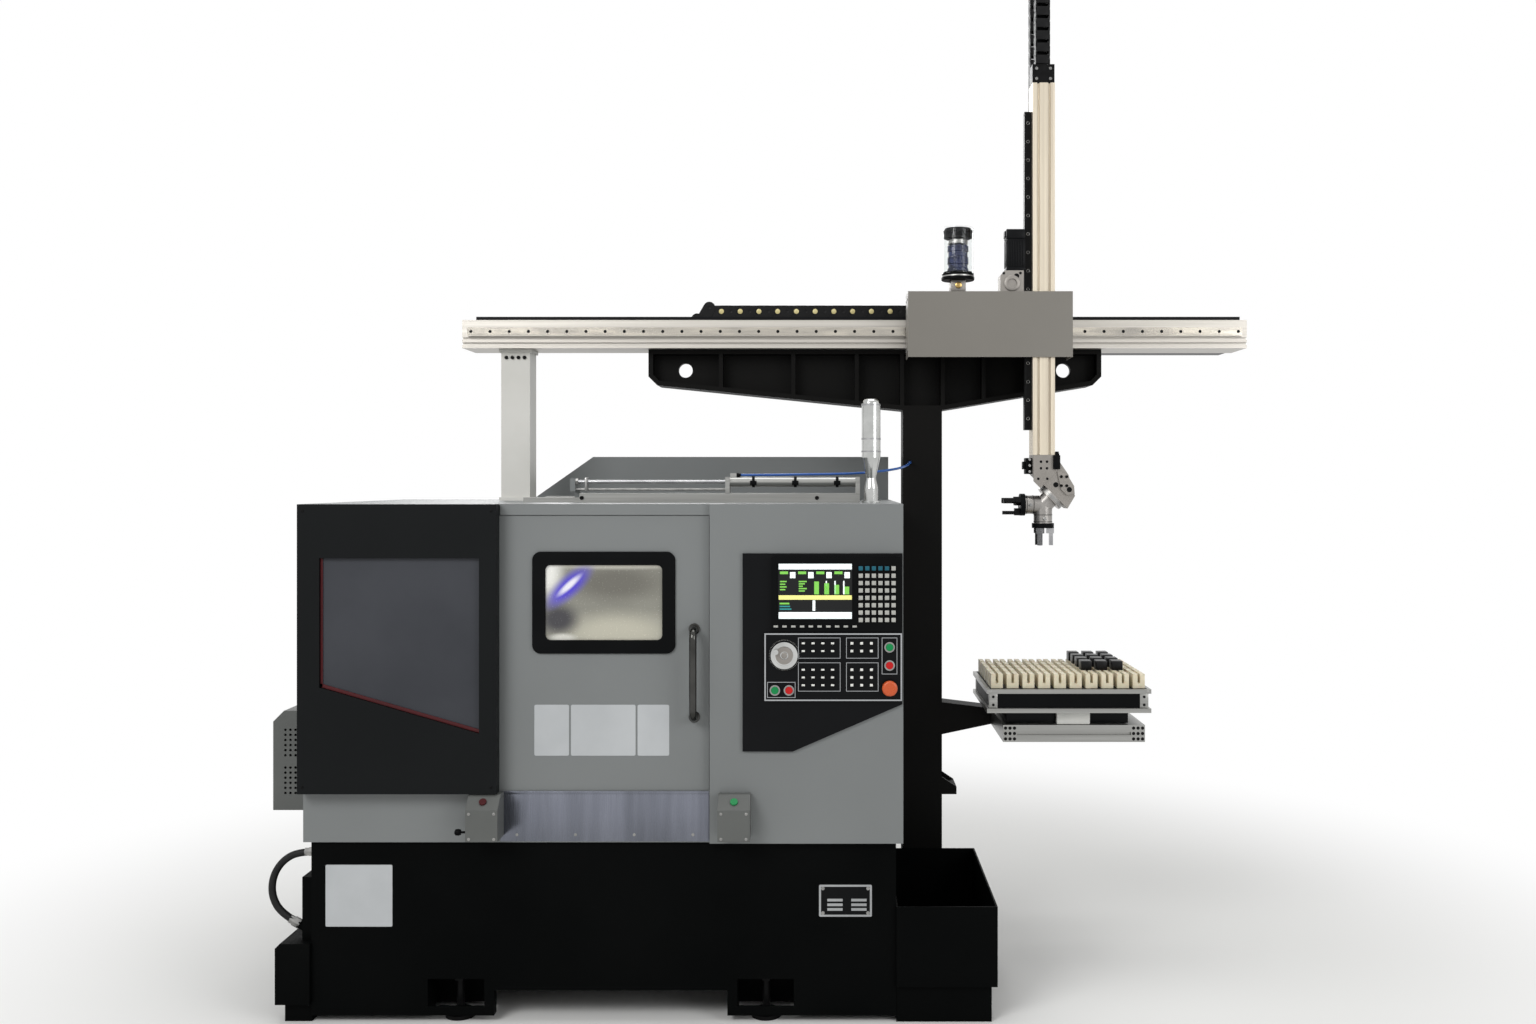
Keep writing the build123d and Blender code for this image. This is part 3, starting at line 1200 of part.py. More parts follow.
Z_BEAM_X = (Z_BEAM_LEFT, Z_BEAM_LEFT + Z_BEAM_W)
Z_BEAM_Y = (SPINDLE_Y - Z_BEAM_D / 2, SPINDLE_Y + Z_BEAM_D / 2)
Z_RAIL_X = (Z_BEAM_LEFT - Z_RAIL_T, Z_BEAM_LEFT)
Z_RAIL_Y = (SPINDLE_Y - Z_RAIL_W / 2, SPINDLE_Y + Z_RAIL_W / 2)
CARRIAGE_X = (COVER_LEFT + COVER_SHEET, COVER_LEFT + COVER_W - COVER_SHEET)
SHELF_TOP = CHAIN_TOP + RUN_GAP + SHELF_T
GUIDE_X = (Z_RAIL_X[0] - GUIDE_WALL, Z_RAIL_X[0] + GUIDE_GRIP)
with BuildPart() as x_carriage:
    block(CARRIAGE_X, (CARRIAGE_FRONT, CARRIAGE_BACK), (CARRIAGE_BOTTOM, SHELF_TOP - SHELF_T))
    shoe_y = (CARRIAGE_BACK, BEAM_FRONT - X_RAIL_T + SHOE_LAP)
    shoe_z = (x_rail_z[0] - SHOE_WALL, x_rail_z[1] + SHOE_WALL)
    for shoe_x in (CARRIAGE_X[0] + SHOE_INSET, CARRIAGE_X[1] - SHOE_INSET - SHOE_L):
        block((shoe_x, shoe_x + SHOE_L), shoe_y, shoe_z)
    channel_z = (x_rail_z[0] - RUN_GAP, x_rail_z[1] + RUN_GAP)
    block(CARRIAGE_X, (BEAM_FRONT - X_RAIL_T - RUN_GAP, BEAM_FRONT), channel_z, Mode.SUBTRACT)
    shelf_x = (CARRIAGE_X[0] + SHELF_INSET, CARRIAGE_X[0] + SHELF_INSET + SHELF_W)
    block(shelf_x, (CARRIAGE_FRONT, CHAIN_Y[1]), (SHELF_TOP - SHELF_T, SHELF_TOP))
    guide_y = (SPINDLE_Y - GUIDE_W / 2, SPINDLE_Y + GUIDE_W / 2)
    block(GUIDE_X, guide_y, (GUIDE_BOTTOM, GUIDE_TOP))
    block((GUIDE_X[0], Z_RAIL_X[0]), (guide_y[1], CARRIAGE_FRONT), (GUIDE_BOTTOM, GUIDE_TOP))
    block(
        (Z_RAIL_X[0] - RUN_GAP, Z_BEAM_LEFT),
        (Z_RAIL_Y[0] - RUN_GAP, Z_RAIL_Y[1] + RUN_GAP),
        (GUIDE_BOTTOM - OVERRUN, GUIDE_TOP + OVERRUN),
        Mode.SUBTRACT,
    )
save(x_carriage.part, "x_carriage")

# Carriage cover: a sheet bent to a U round the front of the carriage, open above and below
COVER_FRONT = 440
with BuildPart() as carriage_cover:
    cover_z = (COVER_BOTTOM, COVER_BOTTOM + COVER_H)
    block((COVER_LEFT, COVER_LEFT + COVER_W), (COVER_FRONT, CARRIAGE_BACK), cover_z)
    block(
        CARRIAGE_X,
        (COVER_FRONT + COVER_SHEET, CARRIAGE_BACK + OVERRUN),
        (COVER_BOTTOM - OVERRUN, COVER_BOTTOM + COVER_H + OVERRUN),
        Mode.SUBTRACT,
    )
save(carriage_cover.part, "carriage_cover")

# Grease cup: a clear pot between two caps, on a foot that stands on the shelf
CUP_X = 1116
CUP_Y = 525
CUP_D = 108
CUP_H = 178
CUP_CAP_T = 18
CUP_CAP_OUT = 2
CUP_FOOT_H = 40
CUP_FOOT_W = 50
with BuildPart() as grease_cup:
    cup_z = SHELF_TOP + CUP_FOOT_H
    block(
        (CUP_X - CUP_FOOT_W / 2, CUP_X + CUP_FOOT_W / 2),
        (CUP_Y - CUP_FOOT_W / 2, CARRIAGE_BACK + CUP_FOOT_W / 2),
        (SHELF_TOP, cup_z),
    )
    turned(level(cup_z), (CUP_X, CUP_Y), CUP_D, CUP_H)
    turned(level(cup_z), (CUP_X, CUP_Y), CUP_D + 2 * CUP_CAP_OUT, CUP_CAP_T)
    turned(level(cup_z + CUP_H - CUP_CAP_T), (CUP_X, CUP_Y), CUP_D + 2 * CUP_CAP_OUT, CUP_CAP_T)
save(grease_cup.part, "grease_cup")

# Motor of the upright axis: a finned body on a cast gear head that stands on the guide
GEAR_HEAD_W = 78
GEAR_HEAD_D = 66
GEAR_HEAD_H = 93
GEAR_BEVEL = 16
Z_MOTOR_W = 64
Z_MOTOR_H = 140
MOTOR_SET = 5
with BuildPart() as z_motor:
    gear_x = (Z_RAIL_X[0] - MOTOR_SET - GEAR_HEAD_W, Z_RAIL_X[0] - MOTOR_SET)
    gear_y = (SPINDLE_Y - GEAR_HEAD_D / 2, SPINDLE_Y + GEAR_HEAD_D / 2)
    block(gear_x, gear_y, (GUIDE_TOP, GUIDE_TOP + GEAR_HEAD_H))
    chamfer(z_motor.edges().filter_by(Axis.Y).group_by(Axis.X)[0].sort_by(Axis.Z)[-1], GEAR_BEVEL)
    motor_x = (gear_x[1] - Z_MOTOR_W, gear_x[1])
    motor_y = (SPINDLE_Y - Z_MOTOR_W / 2, SPINDLE_Y + Z_MOTOR_W / 2)
    motor_z = GUIDE_TOP + GEAR_HEAD_H
    block(motor_x, motor_y, (motor_z, motor_z + Z_MOTOR_H))
save(z_motor.part, "z_motor")

# Upright beam: an extruded profile with two slots along its front
with BuildPart() as z_beam:
    block(Z_BEAM_X, Z_BEAM_Y, (Z_BEAM_BOTTOM, Z_BEAM_TOP))
    with BuildSketch(level(Z_BEAM_BOTTOM)):
        with Locations(((Z_BEAM_X[0] + Z_BEAM_X[1]) / 2, SPINDLE_Y)):
            with GridLocations(Z_BEAM_W / 2, Z_BEAM_D, 2, 2):
                Rectangle(SLOT_W, 2 * SLOT_DEEP)
    extrude(amount=Z_BEAM_TOP - Z_BEAM_BOTTOM, mode=Mode.SUBTRACT)
save(z_beam.part, "z_beam")

# Rail on the left of the upright beam, and the clamp on its top that holds the chain
CLAMP_H = 64
CLAMP_INSET = 8
with BuildPart() as z_rail:
    block(Z_RAIL_X, Z_RAIL_Y, (Z_RAIL_BOTTOM, Z_RAIL_TOP))
    clamp_y = (Z_BEAM_Y[0] + CLAMP_INSET, Z_BEAM_Y[1] - CLAMP_INSET)
    block(Z_BEAM_X, clamp_y, (Z_BEAM_TOP, Z_BEAM_TOP + CLAMP_H))
save(z_rail.part, "z_rail")

# Upright chain: from the clamp up, over a half turn and down behind the beam to the shelf
Z_CHAIN_W = 48
Z_BEND = 3390
z_chain_plane = Plane(
    origin=((Z_BEAM_X[0] + Z_BEAM_X[1] - Z_CHAIN_W) / 2, 0, 0), x_dir=(0, 0, -1), z_dir=(1, 0, 0)
)
with BuildPart() as z_cable_chain:
    drag_chain(
        z_chain_plane, Z_CHAIN_W, (-Z_BEND, SPINDLE_Y + CHAIN_R), -SHELF_TOP, -Z_BEAM_TOP - CLAMP_H, -1
    )
save(z_cable_chain.part, "z_cable_chain")

# Wrist: a cast bracket under the upright beam with a face at 45 degrees for the swivel
HEAD_X = 1399
HEAD_Z = 1549
SWIVEL_OFF = 45
WRIST_TOE_X = 1475
WRIST_HEEL_X = 1500
WRIST_HEEL_RISE = 42
WRIST_BACK_X = 1478
WRIST_BACK_Z = 1650
DIAGONAL = sqrt(2)
swivel_sum = HEAD_X + HEAD_Z + SWIVEL_OFF * DIAGONAL
with BuildPart() as wrist_bracket:
    wrist_outline = [
        (Z_BEAM_X[0], Z_BEAM_BOTTOM),
        (Z_BEAM_X[1], Z_BEAM_BOTTOM),
        (WRIST_BACK_X, WRIST_BACK_Z),
        (WRIST_HEEL_X, swivel_sum - WRIST_TOE_X + WRIST_HEEL_RISE),
        (WRIST_TOE_X, swivel_sum - WRIST_TOE_X),
        (Z_BEAM_X[0], swivel_sum - Z_BEAM_X[0]),
    ]
    prism(front(Z_BEAM_Y[1]), wrist_outline, Z_BEAM_D)
save(wrist_bracket.part, "wrist_bracket")

# Swivel head: a round flange at 45 degrees, a hub, and two gripper bodies at a right angle
FLANGE_D = 96
FLANGE_L = 18
HUB_D = 64
GRIPPER_D = 62
GRIPPER_L = 62
GRIPPER_PLATE_D = 72
GRIPPER_PLATE_T = 16
HEAD_AT = (HEAD_X, SPINDLE_Y, HEAD_Z)
swivel_plane = Plane(origin=HEAD_AT, x_dir=(0, 1, 0), z_dir=(1, 0, 1))
left_grip_plane = Plane(origin=HEAD_AT, x_dir=(0, 1, 0), z_dir=(-1, 0, 0))
down_grip_plane = Plane(origin=HEAD_AT, x_dir=(0, 1, 0), z_dir=(0, 0, -1))
with BuildPart() as swivel_head:
    turned(swivel_plane, (0, 0), HUB_D, SWIVEL_OFF - RUN_GAP)
    turned(swivel_plane.offset(SWIVEL_OFF - RUN_GAP), (0, 0), FLANGE_D, -FLANGE_L)
    for grip_plane in (left_grip_plane, down_grip_plane):
        turned(grip_plane, (0, 0), GRIPPER_D, GRIPPER_L)
        turned(grip_plane.offset(GRIPPER_L), (0, 0), GRIPPER_PLATE_D, GRIPPER_PLATE_T)
save(swivel_head.part, "swivel_head")

# Gripper jaws: a foot that runs on the plate, and a stepped finger
JAW_COUNT = 3
JAW_R = 24
JAW_L = 24
JAW_W = 20
JAW_FOOT_T = 18
FINGER_R = 27
FINGER_L = 12
FINGER_W = 14
FINGER_OUT = 58
JAW_START = GRIPPER_L + GRIPPER_PLATE_T + RUN_GAP
for grip_name, grip_plane in (("left", left_grip_plane), ("down", down_grip_plane)):
    for index in range(JAW_COUNT):
        angle = 90 + 360 * index / JAW_COUNT
        toward = (cos(radians(angle)), sin(radians(angle)))
        with BuildPart() as gripper_jaw:
            with BuildSketch(grip_plane.offset(JAW_START)):
                with Locations(Location((JAW_R * toward[0], JAW_R * toward[1], 0), (0, 0, angle))):
                    Rectangle(JAW_L, JAW_W)
            extrude(amount=JAW_FOOT_T)
            with BuildSketch(grip_plane.offset(JAW_START)):
                with Locations(Location((FINGER_R * toward[0], FINGER_R * toward[1], 0), (0, 0, angle))):
                    Rectangle(FINGER_L, FINGER_W)
            extrude(amount=FINGER_OUT)
        save(gripper_jaw.part, f"{grip_name}_gripper_jaw_{index + 1}")

# Tray stand: a frame of slotted profiles on the tray arm, with a middle bar that guides the tray
PROFILE = 45
STAND_FRONT = 330
STAND_D = 430
STAND_W = 461
STAND_Z = 781
STAND_H = 55
STAND_SLOT = 10
STAND_MID_W = 60
STAND_TOP = STAND_Z + STAND_H
STAND_X = (TRAY_FRAME_LEFT, TRAY_FRAME_LEFT + STAND_W)
STAND_MID_X = (STAND_X[0] + STAND_X[1]) / 2
with BuildPart() as tray_base_frame:
    stand_y = (STAND_FRONT, STAND_FRONT + STAND_D)
    stand_z = (STAND_Z, STAND_TOP)
    block(STAND_X, stand_y, stand_z)
    for hole_x in (
        (STAND_X[0] + PROFILE, STAND_MID_X - STAND_MID_W / 2),
        (STAND_MID_X + STAND_MID_W / 2, STAND_X[1] - PROFILE),
    ):
        hole_y = (stand_y[0] + PROFILE, stand_y[1] - PROFILE)
        block(hole_x, hole_y, (STAND_Z - OVERRUN, STAND_TOP + OVERRUN), Mode.SUBTRACT)
    front_x = (STAND_X[0] + PROFILE, STAND_X[1] - PROFILE)
    slot_z = ((stand_z[0] + stand_z[1] - STAND_SLOT) / 2, (stand_z[0] + stand_z[1] + STAND_SLOT) / 2)
    block(front_x, (stand_y[0] - OVERRUN, stand_y[0] + STAND_SLOT), slot_z, Mode.SUBTRACT)
save(tray_base_frame.part, "tray_base_frame")

# Tray: a shallow frame with sunk sides on a white slide block
TRAY_W = 529
TRAY_SET = 23
TRAY_FRONT = 290
TRAY_D = 410
TRAY_BOTTOM = 882
TRAY_TOP = 958
TRAY_RAIL = 14
TRAY_SINK = 10
SLIDE_W = 106
SLIDE_D = 240
TRAY_MID_X = STAND_MID_X - TRAY_SET
TRAY_X = (TRAY_MID_X - TRAY_W / 2, TRAY_MID_X + TRAY_W / 2)
with BuildPart() as tray:
    tray_y = (TRAY_FRONT, TRAY_FRONT + TRAY_D)
    block(TRAY_X, tray_y, (TRAY_BOTTOM, TRAY_TOP))
    with BuildSketch(level(TRAY_BOTTOM + TRAY_RAIL)):
        with Locations(((TRAY_X[0] + TRAY_X[1]) / 2, (tray_y[0] + tray_y[1]) / 2)):
            Rectangle(TRAY_X[1] - TRAY_X[0] + 2 * OVERRUN, TRAY_D + 2 * OVERRUN)
            Rectangle(TRAY_X[1] - TRAY_X[0] - 2 * TRAY_SINK, TRAY_D - 2 * TRAY_SINK, mode=Mode.SUBTRACT)
    extrude(amount=TRAY_TOP - TRAY_BOTTOM - 2 * TRAY_RAIL, mode=Mode.SUBTRACT)
    slide_y = ((tray_y[0] + tray_y[1] - SLIDE_D) / 2, (tray_y[0] + tray_y[1] + SLIDE_D) / 2)
    block(
        (STAND_MID_X - SLIDE_W / 2, STAND_MID_X + SLIDE_W / 2),
        slide_y,
        (STAND_TOP + RUN_GAP, TRAY_BOTTOM),
    )
save(tray.part, "tray")

# Nests: ten lanes of slotted blocks on the tray, three of them with blanks standing on the nests
LANES = 10
NESTS = 5
NEST_W = 38
NEST_D = 62
NEST_H = 46
NEST_SLOT = 9
NEST_SLOT_DEEP = 30
NEST_PITCH_X = 51
NEST_PITCH_Y = 76
BLANK_LANES = (6, 7, 8)
BLANK_ROWS = (1, 2, 3, 4)
BLANK_W = 34
BLANK_D = 44
BLANK_H = 30
with BuildPart() as tray_nests:
    tray_mid = ((TRAY_X[0] + TRAY_X[1]) / 2, (tray_y[0] + tray_y[1]) / 2)
    with BuildSketch(level(TRAY_TOP)):
        with Locations(tray_mid):
            with GridLocations(NEST_PITCH_X, NEST_PITCH_Y, LANES, NESTS):
                Rectangle(NEST_W, NEST_D)
    extrude(amount=NEST_H)
    with BuildSketch(level(TRAY_TOP + NEST_H - NEST_SLOT_DEEP)):
        with Locations(tray_mid):
            with GridLocations(NEST_PITCH_X, NEST_PITCH_Y, LANES, NESTS):
                Rectangle(NEST_SLOT, NEST_D)
    extrude(amount=NEST_SLOT_DEEP, mode=Mode.SUBTRACT)
    with BuildSketch(level(TRAY_TOP + NEST_H)):
        for lane in BLANK_LANES:
            for row in BLANK_ROWS:
                blank_x = tray_mid[0] + (lane - (LANES - 1) / 2) * NEST_PITCH_X
                blank_y = tray_mid[1] + (row - (NESTS - 1) / 2) * NEST_PITCH_Y
                with Locations((blank_x, blank_y)):
                    Rectangle(BLANK_W, BLANK_D)
    extrude(amount=BLANK_H)
save(tray_nests.part, "tray_nests")
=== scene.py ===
"""CNC turning lathe with a gantry loader and a blank tray: finishes, fittings, light and camera."""
from math import cos, pi, radians, sin

import bmesh
import bpy
from mathutils import Matrix, Vector


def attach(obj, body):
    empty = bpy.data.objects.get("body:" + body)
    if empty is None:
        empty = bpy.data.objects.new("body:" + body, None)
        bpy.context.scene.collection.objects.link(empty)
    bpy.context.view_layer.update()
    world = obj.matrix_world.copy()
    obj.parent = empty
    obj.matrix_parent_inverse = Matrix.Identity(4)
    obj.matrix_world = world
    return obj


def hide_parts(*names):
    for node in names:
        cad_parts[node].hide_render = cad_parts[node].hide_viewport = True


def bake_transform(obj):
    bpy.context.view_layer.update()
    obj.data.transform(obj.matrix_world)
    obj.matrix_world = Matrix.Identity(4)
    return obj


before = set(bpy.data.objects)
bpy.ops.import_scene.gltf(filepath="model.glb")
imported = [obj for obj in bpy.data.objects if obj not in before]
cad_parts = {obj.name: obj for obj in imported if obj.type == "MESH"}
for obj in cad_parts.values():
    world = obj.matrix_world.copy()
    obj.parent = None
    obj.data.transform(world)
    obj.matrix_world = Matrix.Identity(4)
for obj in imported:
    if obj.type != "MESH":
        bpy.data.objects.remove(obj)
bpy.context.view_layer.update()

# From layout millimetres, measured from the middle of the enclosure's front at floor level, to the row frame
# in metres
TO_METRES = Matrix.Scale(0.001, 4)
ROW_ORIGIN = (524, 580, 0)
TO_ROW = TO_METRES @ Matrix.Translation([-c for c in ROW_ORIGIN])

# Directions: up, out of the front, and to the right
UP, OUT, ALONG = (0, 0, 1), (0, -1, 0), (1, 0, 0)


def spot(x, y, z):
    """A layout point in millimetres as a point of the row frame in metres."""
    return TO_ROW @ Vector((x, y, z))


def linear(hex_colour):
    """An sRGB hex colour as linear RGBA."""
    channels = [int(hex_colour[i:i + 2], 16) / 255 for i in (1, 3, 5)]
    return [c / 12.92 if c <= 0.04045 else ((c + 0.055) / 1.055) ** 2.4 for c in channels] + [1]


def add(tree, kind, inputs=None, **settings):
    """Adds one node with its settings, and its inputs as values or links. A node given as an input stands
    for its first output in use."""
    node = tree.nodes.new(kind)
    for key, value in settings.items():
        setattr(node, key, value)
    for key, value in (inputs or {}).items():
        if isinstance(value, bpy.types.Node):
            value = next(socket for socket in value.outputs if socket.enabled)
        if isinstance(value, bpy.types.NodeSocket):
            tree.links.new(value, node.inputs[key])
        else:
            node.inputs[key].default_value = value
    return node


def put(name, data):
    """Adds an object of the data to the scene."""
    thing = bpy.data.objects.new(name, data)
    bpy.context.collection.objects.link(thing)
    return thing


MATERIALS = {}


def per_metre(size_mm):
    """A pattern's size in millimetres, even or along three axes, as its scale."""
    sizes = size_mm if isinstance(size_mm, tuple) else (size_mm,) * 3
    return [1000 / size for size in sizes]


def finish(name, dark, light, rough, metallic=0.0, grain_mm=1.2, relief_mm=0.02, cloud_mm=180, specular=0.5,
           extra=None):
    """A surface whose colour drifts between two tones in clouds, with a fine grain that lifts it and
    scatters its gloss. Clouds stretched along an axis are for wiped or drawn metal, and a low specular
    is for flat paint that mirrors little."""
    material = bpy.data.materials.new(name)
    material.use_nodes = True
    tree = material.node_tree
    bsdf = tree.nodes["Principled BSDF"]
    for key, value in {"Metallic": metallic, "Specular IOR Level": specular, **(extra or {})}.items():
        bsdf.inputs[key].default_value = value
    place = add(tree, "ShaderNodeTexCoord").outputs["Object"]
    broad = add(tree, "ShaderNodeMapping", {"Vector": place, "Scale": per_metre(cloud_mm)})
    cloud = add(tree, "ShaderNodeTexNoise", {"Vector": broad, "Scale": 1.0, "Detail": 4.0})
    tone = add(tree, "ShaderNodeValToRGB", {"Fac": cloud})
    for end, position, colour in zip(tone.color_ramp.elements, (0.32, 0.68), (dark, light)):
        end.position = position
        end.color = linear(colour)
    tree.links.new(tone.outputs["Color"], bsdf.inputs["Base Color"])
    fine = add(tree, "ShaderNodeMapping", {"Vector": place, "Scale": per_metre(grain_mm)})
    grain = add(tree, "ShaderNodeTexNoise", {"Vector": fine, "Scale": 1.0, "Detail": 3.0})
    gloss = add(tree, "ShaderNodeMapRange", {"Value": grain, "From Min": 0.3, "From Max": 0.7,
                                             "To Min": rough[0], "To Max": rough[1]})
    tree.links.new(gloss.outputs["Result"], bsdf.inputs["Roughness"])
    lift = add(tree, "ShaderNodeBump", {"Height": grain, "Strength": 0.5, "Distance": relief_mm / 1000})
    tree.links.new(lift.outputs["Normal"], bsdf.inputs["Normal"])
    MATERIALS[name] = material


# Powder coat: a baked polyester skin whose orange peel, about 2 mm wide, softens each highlight
finish("grey_powder_coat", "#757878", "#7b7e7e", (0.36, 0.5), grain_mm=2, relief_mm=0.05, cloud_mm=700,
       specular=0.25)
finish("charcoal_powder_coat", "#0d0f10", "#111314", (0.34, 0.48), grain_mm=2, relief_mm=0.05,
       cloud_mm=500, specular=0.1)
finish("slate_powder_coat", "#33353a", "#3b3d42", (0.4, 0.52), grain_mm=2, relief_mm=0.05, cloud_mm=260,
       specular=0.2)
# Textured machine enamel: thick sprayed paint on cast and welded iron, with coarse grain and broken gloss
finish("black_machine_enamel", "#040505", "#070808", (0.4, 0.6), grain_mm=3.5, relief_mm=0.12,
       cloud_mm=320, specular=0.03)
finish("black_gantry_enamel", "#0a0a09", "#0e0d0c", (0.4, 0.6), grain_mm=3.5, relief_mm=0.12,
       cloud_mm=320, specular=0.07)
finish("black_satin_enamel", "#07080a", "#0c0d0f", (0.3, 0.42), grain_mm=1.5, relief_mm=0.03, specular=0.1)
# A darker copy of the grey paint: on the side vent cover the darkness is painted shade on the same grey paint,
# and the button boxes wear it too
finish("grey_enamel_painted_shade", "#585a58", "#5f615f", (0.36, 0.5), grain_mm=2, relief_mm=0.05, specular=0.3)
finish("white_enamel", "#c9c8c2", "#d3d2cd", (0.3, 0.45), grain_mm=2, relief_mm=0.05, cloud_mm=260,
       specular=0.3)
finish("trim_red_enamel", "#40080d", "#4b0c11", (0.28, 0.4), grain_mm=1, specular=0.3)
# Anodised aluminium: drawn extrusion, so long faint streaks run with the profile under a matt oxide skin
finish("beam_anodised_aluminium", "#aaa69f", "#bdb9b2", (0.34, 0.46), 0.85, (220, 1.2, 1.2), 0.01,
       cloud_mm=(900, 9, 9))
finish("upright_anodised_aluminium", "#bdb3a2", "#d4cab7", (0.34, 0.46), 0.85, (1.2, 1.2, 220), 0.01,
       cloud_mm=(9, 9, 900))
finish("tray_anodised_aluminium", "#8f8f8c", "#a0a09d", (0.28, 0.4), 0.95, (160, 1.2, 1.2), 0.01,
       cloud_mm=(600, 8, 8))
# Cast aluminium: sand-blasted skin, grey and evenly dull, with a 0.8 mm grain
finish("cast_aluminium", "#837f7a", "#8f8b86", (0.42, 0.56), 0.9, 0.8, 0.02, cloud_mm=120)
finish("turned_aluminium", "#85827f", "#a3a09c", (0.26, 0.38), 0.95, 1, 0.01, cloud_mm=60)
# Carriage cover: folded sheet under a thin satin coat, so it stays even from edge to edge
finish("cover_satin_sheet", "#76736d", "#7b7872", (0.36, 0.48), 0.2, (60, 1.2, 1.2), 0.01, cloud_mm=500,
       specular=0.3)
# Stainless sill: rolled sheet whose colour drifts in soft upright streaks, painted bands of reflection
finish("stainless_sill", "#686b74", "#7e818c", (0.22, 0.36), 0.95, (1.2, 1.2, 140), 0.01,
       cloud_mm=(70, 70, 700))
# Steel: ground, plated or blackened, with fine tool marks
finish("ground_steel", "#919193", "#a9a9aa", (0.2, 0.32), 1.0, (40, 0.8, 0.8), 0.01, cloud_mm=70)
finish("rail_ground_steel", "#a29e97", "#c9c3b6", (0.16, 0.26), 1.0, (120, 0.8, 0.8), 0.005,
       cloud_mm=(160, 30, 30))
# Door handle chrome, darkened to paint in the reflection of a dark room: a painted reflection
finish("chrome_painted_dark_reflection", "#3a3a38", "#4a4a48", (0.08, 0.16), 1.0, 2, 0.004, cloud_mm=60)
finish("polished_chrome", "#b3b4b2", "#c6c7c5", (0.08, 0.16), 1.0, 2, 0.004, cloud_mm=60)
finish("zinc_plated_steel", "#858584", "#a09f9c", (0.3, 0.42), 1.0, 1, 0.01, cloud_mm=20)
finish("black_oxide_steel", "#0a0a0a", "#111112", (0.34, 0.48), 0.3, 1, 0.02, cloud_mm=15, specular=0.12)
# Brass: the turned plug at the foot of the grease cup
finish("turned_brass", "#a58a55", "#b99c63", (0.24, 0.36), 1.0, 1, 0.01, cloud_mm=10)
# Cast iron: grey, open grain where it is machined
finish("machined_cast_iron", "#4a4a49", "#5c5c5a", (0.34, 0.5), 0.85, 1, 0.03, cloud_mm=50)
# Moulded plastics: spark-eroded tool texture of about 0.7 mm gives ABS and nylon their even sheen
finish("black_abs", "#08090a", "#0d0e0f", (0.4, 0.52), grain_mm=0.7, relief_mm=0.03, specular=0.05)
finish("chain_nylon", "#080809", "#0e0e0f", (0.4, 0.55), grain_mm=1, relief_mm=0.04, cloud_mm=30, specular=0.15)
finish("grey_key_abs", "#a3a39e", "#b2b2ac", (0.36, 0.46), grain_mm=0.7)
finish("blue_key_abs", "#1c5666", "#226374", (0.36, 0.46), grain_mm=0.7, specular=0.2)
finish("green_button_abs", "#0f7a42", "#138a4c", (0.2, 0.3), grain_mm=0.7, specular=0.2)
finish("red_button_abs", "#b3181a", "#c41d1e", (0.2, 0.3), grain_mm=0.7, specular=0.2)
finish("dark_red_button_abs", "#3f0c10", "#4a1013", (0.2, 0.3), grain_mm=0.7, specular=0.2)
finish("stop_orange_abs", "#b94a1d", "#c75422", (0.22, 0.32), grain_mm=0.7)
finish("cream_nylon", "#cfc5aa", "#ddd4bb", (0.42, 0.55), grain_mm=1, relief_mm=0.04, cloud_mm=25,
       extra={"Subsurface Weight": 0.05})
finish("white_nylon", "#dadad5", "#e4e4e0", (0.4, 0.52), grain_mm=1, relief_mm=0.03)
finish("dot_yellow_nylon", "#bfb37c", "#cfc490", (0.4, 0.5), grain_mm=1)
finish("blank_black_oxide", "#0e0e0f", "#161617", (0.28, 0.42), 0.4, 1, 0.02, cloud_mm=20, specular=0.25)
# Label stock: plain matt film
finish("white_label_film", "#adb0b2", "#b7babc", (0.4, 0.5), grain_mm=1, relief_mm=0.01, specular=0.3)
finish("silver_foil_plate", "#a2a4a6", "#b4b6b8", (0.26, 0.36), 0.9, (30, 1, 1), 0.005)
# Hose: calendered rubber with a dusty bloom, and a drawn polyurethane air line
finish("hose_rubber", "#0e0e0f", "#171717", (0.5, 0.66), grain_mm=1.2, relief_mm=0.06, cloud_mm=40,
       specular=0.25)
finish("blue_air_line", "#1a4690", "#24589f", (0.22, 0.32), grain_mm=2, relief_mm=0.01)
# Window polycarbonate: mist of coolant on its back leaves it milky
finish("misted_polycarbonate", "#86857b", "#96958a", (0.14, 0.3), grain_mm=6, relief_mm=0.01,
       cloud_mm=(260, 260, 90), extra={"Transmission Weight": 0.1, "IOR": 1.58})
# Light and shade are painted into the pane's colour in patches: a darker band across the upper middle, a
# lighter glow low down and a light line along the top, a painted shadow low on the left with a small painted
# highlight below it, a painted highlight in the top left corner, and one slanting violet bloom with a white
# core, painted where a lamp inside glows through. Each patch: colour, place, half sizes, lean.
PANE_LIGHT_AND_SHADE_PATCHES = (
    ("#6c6a61", (35, 1323), (210, 78), 0),
    ("#c0bdac", (40, 1168), (240, 92), 0),
    ("#c4c2b5", (35, 1378), (330, 20), 0),
    ("#38373c", (-134, 1214), (84, 66), 0),
    ("#dcdbd2", (-122, 1158), (56, 18), 0),
    ("#f4f4ee", (-176, 1356), (74, 104), 0),
    ("#4a38d0", (-104, 1312), (112, 42), 42),
    ("#f6f4ff", (-102, 1316), (62, 14), 42),
)
pane_tree = MATERIALS["misted_polycarbonate"].node_tree
pane_shader = pane_tree.nodes["Principled BSDF"]
pane_tone = pane_shader.inputs["Base Color"].links[0].from_socket
pane_place = add(pane_tree, "ShaderNodeTexCoord").outputs["Object"]
